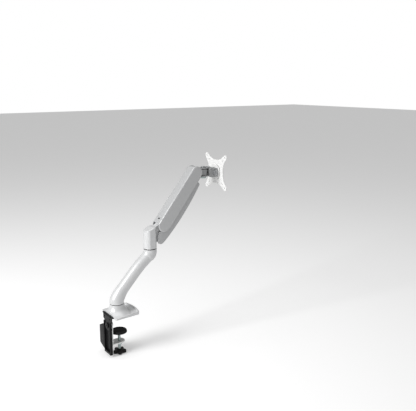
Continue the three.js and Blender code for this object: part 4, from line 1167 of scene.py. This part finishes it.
carve(cover, [
    block((-hollow, -arm_length - 13 * mm, -beyond), (hollow, 4.5 * mm, cover_depth - 3.1 * mm)),
    block((-hollow, 3.5 * mm, -beyond), (hollow, 40 * mm, beyond)),
    bar((-14.6 * mm, -arm_length, 0), (14.6 * mm, -arm_length, 0), 16.5 * mm),
    block((-12 * mm, -arm_length - 40 * mm, -beyond), (12 * mm, -arm_length - 12 * mm, 17 * mm)),
    block((-4.5 * mm, -cap_at - 2.5 * mm, 0), (4.5 * mm, -cap_at + 2.5 * mm, beyond)),
    block((-beyond, -cap_at - 5.3 * mm, cover_depth - 0.7 * mm), (beyond, -cap_at - 4.7 * mm, beyond))])
softened(cover, 0.35 * mm, 2)
cover.data.transform(along_arm)
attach(cover, "upper_link")
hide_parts("upper_arm_cover")


# ---- Lower link ---------------------------------------------------------------------------
# The parallelogram's other arm: a bow-bellied moulded channel that closes the upper arm from
# below. Its walls slide up inside the cover as the arm is raised.

# Painted shade: this silver is darker than the cover's silver, to stand for the shade the link lies in
# under the cover's edge.
shade_darkened_link_plastic = coated("silver moulded link with painted shade", (0.50, 0.505, 0.51), 0.4, 1500, 0.08, 0.04, metallic=0.3)
along_link = Matrix.Translation(link) @ Matrix.Rotation(-arm_rise, 4, "X")
wall_half = 17.8 * mm
wall_thick = 3.2 * mm
belly = 15.5 * mm
far = -arm_length


def bowed(start, end, depth, steps=24):
    """Points on a shallow curve between two places, bowed down to a control point at depth."""
    control = ((start[0] + end[0]) / 2, depth)
    points = []
    for k in range(steps + 1):
        t = k / steps
        points.append(tuple((1 - t) ** 2 * a + 2 * t * (1 - t) * c + t * t * b
                            for a, c, b in zip(start, control, end)))
    return points


nose = 12 * mm
nose_end = (far + nose * math.cos(1.25 * math.pi), nose * math.sin(1.25 * math.pi))
link_side = [(24.5 * mm, 8.5 * mm), (7 * mm, 22.6 * mm), (-6 * mm, 27 * mm), (-16 * mm, 18 * mm),
             (far + 52 * mm, 18 * mm), (far + 24 * mm, 8 * mm), (far, nose)]
link_side += [(far + nose * math.cos(a), nose * math.sin(a))
              for a in (math.pi * (0.5 + 0.75 * k / 24) for k in range(1, 24))]
link_side += bowed(nose_end, (0, -9.5 * mm), -belly * 1.4)
link_side += [(16 * mm, -6 * mm), (20.5 * mm, -3.6 * mm), (23.4 * mm, 0.8 * mm), (24.4 * mm, 4.6 * mm)]
lower_link = plate("lower_link_channel", shade_darkened_link_plastic, link_side, [],
                   -wall_half, wall_half, 1.6 * mm, side_on)
inside = [(40 * mm, 40 * mm), (far - 40 * mm, 40 * mm), (far - 40 * mm, -40 * mm), (far + 4 * mm, -40 * mm)]
inside += bowed((far + 4 * mm, -8.6 * mm), (-17 * mm, -8.4 * mm), -belly * 1.4 + 4.5 * mm)
inside += [(-17 * mm, -40 * mm), (40 * mm, -40 * mm)]
clear = wall_half - wall_thick
carve(lower_link, [plate("tool", shade_darkened_link_plastic, inside, [], -clear, clear, 0.01 * mm, side_on)])
lower_link.data.transform(along_link)
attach(lower_link, "lower_link")
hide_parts("lower_link")


# ---- Gas spring ---------------------------------------------------------------------------
# A bought-in gas spring: a black painted cylinder with a rolled end, and a ground steel rod
# whose eye is pinned in the knuckle's tongue.

pin_low, pin_high = (Vector(corner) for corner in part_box("spring_pin"))
spring_pin_at = (pin_low + pin_high) / 2
spring_way = (spring_pin_at - anchor).normalized()
span = (spring_pin_at - anchor).length
shell_end = span - 12 * mm
shell_start = span - 12 * mm - 110 * mm
eye_half = 4.9 * mm
gas_shell = turned("gas_cylinder_body", black_coat, round_edges([
    (4.4 * mm, shell_start), (7 * mm, shell_start), (10 * mm, shell_start + 2.5 * mm), (10 * mm, shell_end),
    (0, shell_end), (0, shell_end - 4 * mm), (4.4 * mm, shell_end - 4 * mm)], 1.2 * mm), anchor, spring_way)
lug = turned("lug", black_coat, [
    (6.1 * mm, -eye_half), (9.3 * mm, -eye_half), (9.3 * mm, eye_half), (6.1 * mm, eye_half)],
    spring_pin_at, (1, 0, 0))
gas_shell = joined("gas_cylinder_body", gas_shell, lug)
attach(gas_shell, "gas_cylinder")
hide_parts("gas_cylinder")

rod = turned("rod", ground_steel, [(0, 5 * mm), (4 * mm, 5 * mm), (4 * mm, 95 * mm), (0, 95 * mm)],
             anchor, spring_way)
eye = turned("eye", ground_steel, round_edges([
    (3.3 * mm, -eye_half), (7.2 * mm, -eye_half), (7.2 * mm, eye_half), (3.3 * mm, eye_half)], 0.5 * mm),
    anchor, (1, 0, 0))
gas_rod = joined("gas_rod_with_eye", rod, eye)
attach(gas_rod, "gas_rod")
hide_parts("gas_rod")


# ---- Head bracket -------------------------------------------------------------------------
# A mid-grey coated casting on the links' front pivots. It stays level as the arm moves, and
# its short neck carries the upright barrel that the head swivels on.

head_coat = coated("grey head coat", (0.36, 0.365, 0.37), 0.4, 1900, 0.12, 0.06, metallic=0.35)
swivel = joint_at["head_swivel"]
barrel_z = swivel.z
barrel_half = 8.6 * mm
drop_z = level.z - (lift.z - link.z)
head = bar((-tongue_half, level.y, level.z), (tongue_half, level.y, level.z), 12 * mm)
head.name = "head_casting"
head.data.materials[0] = head_coat
carve(head, [
    bar((-tongue_half, level.y, drop_z), (tongue_half, level.y, drop_z), 8 * mm),
    block((-tongue_half, level.y - 5.5 * mm, drop_z), (tongue_half, level.y + 5.5 * mm, level.z)),
    block((-tongue_half + 1 * mm, swivel.y, barrel_z - barrel_half + 0.6 * mm),
          (tongue_half - 1 * mm, level.y, barrel_z + barrel_half - 0.6 * mm)),
    bar((0, swivel.y, barrel_z - barrel_half), (0, swivel.y, barrel_z + barrel_half), 13 * mm)], "UNION")
cast(head, 0.6 * mm, 4)
carve(head, [
    bar((-beyond, level.y, level.z), (beyond, level.y, level.z), pin_bore),
    bar((-beyond, level.y, drop_z), (beyond, level.y, drop_z), 4.3 * mm),
    bar((0, swivel.y, barrel_z - beyond), (0, swivel.y, barrel_z + beyond), pin_bore)])
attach(head, "head")
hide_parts("head_bracket")


# ---- Head yoke ----------------------------------------------------------------------------
# A grey coated fork that swivels on the barrel between two acetal washers. Its front is the
# hub that the screen tilts on, and one capped bolt runs down through it.

tilt = joint_at["tilt"]
tilt_hole = 4.3 * mm
ear_in = 10.2 * mm
ear_out = 15 * mm
web_back = swivel.y - 13.6 * mm
yoke = bar((-12 * mm, tilt.y, tilt.z), (12 * mm, tilt.y, tilt.z), 11 * mm)
yoke.name = "head_yoke"
yoke.data.materials[0] = head_coat
arch = plate("tool", head_coat, fillet([
    (web_back, barrel_z - ear_out, 0), (web_back, barrel_z + ear_out, 0),
    (web_back - 4 * mm, barrel_z + ear_out, 2 * mm),
    (tilt.y + 4 * mm, tilt.z + 10 * mm, 2 * mm), (tilt.y + 4 * mm, tilt.z - 10 * mm, 2 * mm),
    (web_back - 4 * mm, barrel_z - ear_out, 2 * mm)]), [], -10.5 * mm, 10.5 * mm, 1 * mm, side_on)
ears = []
for low_z, high_z in ((barrel_z + ear_in, barrel_z + ear_out), (barrel_z - ear_out, barrel_z - ear_in)):
    ears.append(bar((0, swivel.y, low_z), (0, swivel.y, high_z), 13 * mm))
    ears.append(block((-10.5 * mm, web_back - 4 * mm, low_z), (10.5 * mm, swivel.y, high_z)))
carve(yoke, [arch] + ears, "UNION")
cast(yoke, 0.55 * mm, 4)
carve(yoke, [
    bar((0, swivel.y, barrel_z - beyond), (0, swivel.y, barrel_z + beyond), pin_bore),
    bar((-beyond, tilt.y, tilt.z), (beyond, tilt.y, tilt.z), tilt_hole)])
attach(yoke, "swivel")
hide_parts("swivel_yoke")

cap_low, cap_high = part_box("swivel_bolt")
cap_under = cap_high[2] - 2.6 * mm
swivel_bolt = turned("swivel_bolt_capped", ground_steel, round_edges([
    (0, cap_low[2]), (5 * mm, cap_low[2]), (5 * mm, cap_under), (8.5 * mm, cap_under),
    (8.5 * mm, cap_high[2]), (0, cap_high[2])], 0.7 * mm), (0, swivel.y, 0))
key_socket = bar((0, swivel.y, cap_high[2] - 1.8 * mm), (0, swivel.y, cap_high[2] + 2 * mm), key_size, 6)
carve(swivel_bolt, [key_socket])
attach(swivel_bolt, "swivel")
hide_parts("swivel_bolt")


# ---- Tilt bracket -------------------------------------------------------------------------
# Two grey coated cheeks on a round disc, clamped to the yoke's hub by a bolt whose large low
# head shows on one side. The disc backs the screen plate and lets it turn.

plate_low, plate_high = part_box("vesa_plate")
disc_front = plate_high[1] + 1.4 * mm
disc_back = disc_front + 3.6 * mm
cheek_line = fillet([
    (tilt.y + 20.5 * mm, tilt.z - 13.6 * mm, 4.5 * mm), (tilt.y + 20.5 * mm, tilt.z + 17.4 * mm, 4.5 * mm),
    (tilt.y + 1 * mm, tilt.z + 17.4 * mm, 5 * mm), (disc_front + 0.5 * mm, tilt.z + 12.4 * mm, 0),
    (disc_front + 0.5 * mm, tilt.z - 14.9 * mm, 0)])
cheek_at = 16.9 * mm
cheek_half = 3.6 * mm
cheeks = [plate("cheek", head_coat, cheek_line, [],
                side * cheek_at - cheek_half, side * cheek_at + cheek_half, 1.2 * mm, side_on)
          for side in (-1, 1)]
plate_white = coated("white plate coat", (0.84, 0.84, 0.835), 0.42, 1900, 0.12, 0.02)
disc = turned("tilt_bracket_disc", plate_white, round_edges([
    (0, -disc_back), (25.5 * mm, -disc_back), (25.5 * mm, -disc_front), (8 * mm, -disc_front),
    (8 * mm, -plate_low[1] - 1.9 * mm), (0, -plate_low[1] - 1.9 * mm)], 0.9 * mm),
    (0, 0, tilt.z), (0, -1, 0))
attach(disc, "tilt")
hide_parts("tilt_bracket")
tilt_bracket = joined("tilt_bracket_cheeks", *cheeks)
carve(tilt_bracket, [bar((-beyond, tilt.y, tilt.z), (beyond, tilt.y, tilt.z), tilt_hole)])
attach(tilt_bracket, "tilt")
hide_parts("tilt_bracket")

pivot_low, pivot_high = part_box("tilt_bolt")
bolt_head = 3.4 * mm
tilt_bolt = turned("tilt_bolt_low_head", ground_steel, round_edges([
    (0, pivot_low[0]), (8 * mm, pivot_low[0]), (8 * mm, pivot_low[0] + bolt_head),
    (4 * mm, pivot_low[0] + bolt_head), (4 * mm, pivot_high[0]), (0, pivot_high[0])], 0.8 * mm),
    (0, tilt.y, tilt.z), (1, 0, 0))
key_socket = bar((pivot_low[0] - 2 * mm, tilt.y, tilt.z), (pivot_low[0] + 1.8 * mm, tilt.y, tilt.z),
                 key_size, 6)
carve(tilt_bolt, [key_socket])
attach(tilt_bolt, "tilt")
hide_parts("tilt_bolt")


# ---- Screen plate -------------------------------------------------------------------------
# A pressed steel plate with four round-tipped arms, coated near white. Its eight holes are on
# squares of 75 mm and 100 mm, and a pressed ring stiffens it round the pivot.

tip = 8.5 * mm
notch = 39 * mm
far_hole = 50 * mm
near_hole = 37.5 * mm


def bend(a, b, c, d, steps=16):
    """Points on a cubic curve from a to d, drawn towards b and c."""
    points = []
    for k in range(1, steps):
        t = k / steps
        points.append(Vector(a) * (1 - t) ** 3 + Vector(b) * 3 * t * (1 - t) ** 2
                      + Vector(c) * 3 * t * t * (1 - t) + Vector(d) * t ** 3)
    return points


four_arms = []
neck_pull = 9 * mm
notch_pull = 20 * mm
screw_hole = 2.4 * mm
for quarter in range(4):
    turn = Matrix.Rotation(quarter * math.pi / 2, 2)
    stretch = [Vector((far_hole + tip * math.cos(a), -far_hole + tip * math.sin(a)))
               for a in (math.pi * (k / 24 - 0.75) for k in range(25))]
    start = stretch[-1]
    mid = Vector((notch, 0))
    end = Vector((start.x, -start.y))
    stretch += bend(start, (start.x - neck_pull, start.y + neck_pull), (notch, -notch_pull), mid)
    stretch.append(mid)
    stretch += bend(mid, (notch, notch_pull), (end.x - neck_pull, end.y - neck_pull), end)
    four_arms += [turn @ p for p in stretch]
screw_holes = [hole(u * half, v * half, screw_hole)
               for half in (near_hole, far_hole) for u in (-1, 1) for v in (-1, 1)]
screen_plate = plate("screen_plate", plate_white, four_arms, screw_holes + [hole(0, 0, 8.3 * mm, 64)],
                     -plate_high[1], -plate_low[1], 0.5 * mm, face_on, Matrix.Translation((0, 0, tilt.z)))
recess = bar((0, plate_low[1] - 2 * mm, tilt.z), (0, plate_low[1] + 1.6 * mm, tilt.z), 12.3 * mm)
carve(screen_plate, [recess])
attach(screen_plate, "plate")
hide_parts("vesa_plate")

screw_low, screw_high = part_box("rotation_screw")
rotation_screw = turned("rotation_screw_flat", bright_zinc, round_edges([
    (0, -screw_high[1]), (2.9 * mm, -screw_high[1]), (2.9 * mm, -screw_low[1] - 1.3 * mm),
    (12 * mm, -screw_low[1] - 1.3 * mm), (12 * mm, -screw_low[1]), (0, -screw_low[1])], 0.3 * mm),
    (0, 0, tilt.z), (0, -1, 0))
key_socket = bar((0, screw_low[1] - 2 * mm, tilt.z), (0, screw_low[1] + 0.9 * mm, tilt.z), 3 * mm, 6)
carve(rotation_screw, [key_socket])
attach(rotation_screw, "tilt")
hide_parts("rotation_screw")


# ---- Pins, bushes and small screws --------------------------------------------------------
# Bought-in and turned parts that sit inside the arm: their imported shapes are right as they
# are, and each only gets the finish of its own steel, zinc or acetal.

finishes = {"steel": ground_steel, "zinc": bright_zinc, "nylon": dark_acetal}
slot_of = {part["node"]: part["material_slot"] for part in frame["record"]["subparts"]}
for node, shown in frame["nodes"].items():
    if shown.hide_render or slot_of.get(node) not in finishes:
        continue
    for place in shown.material_slots:
        place.material = finishes[slot_of[node]]
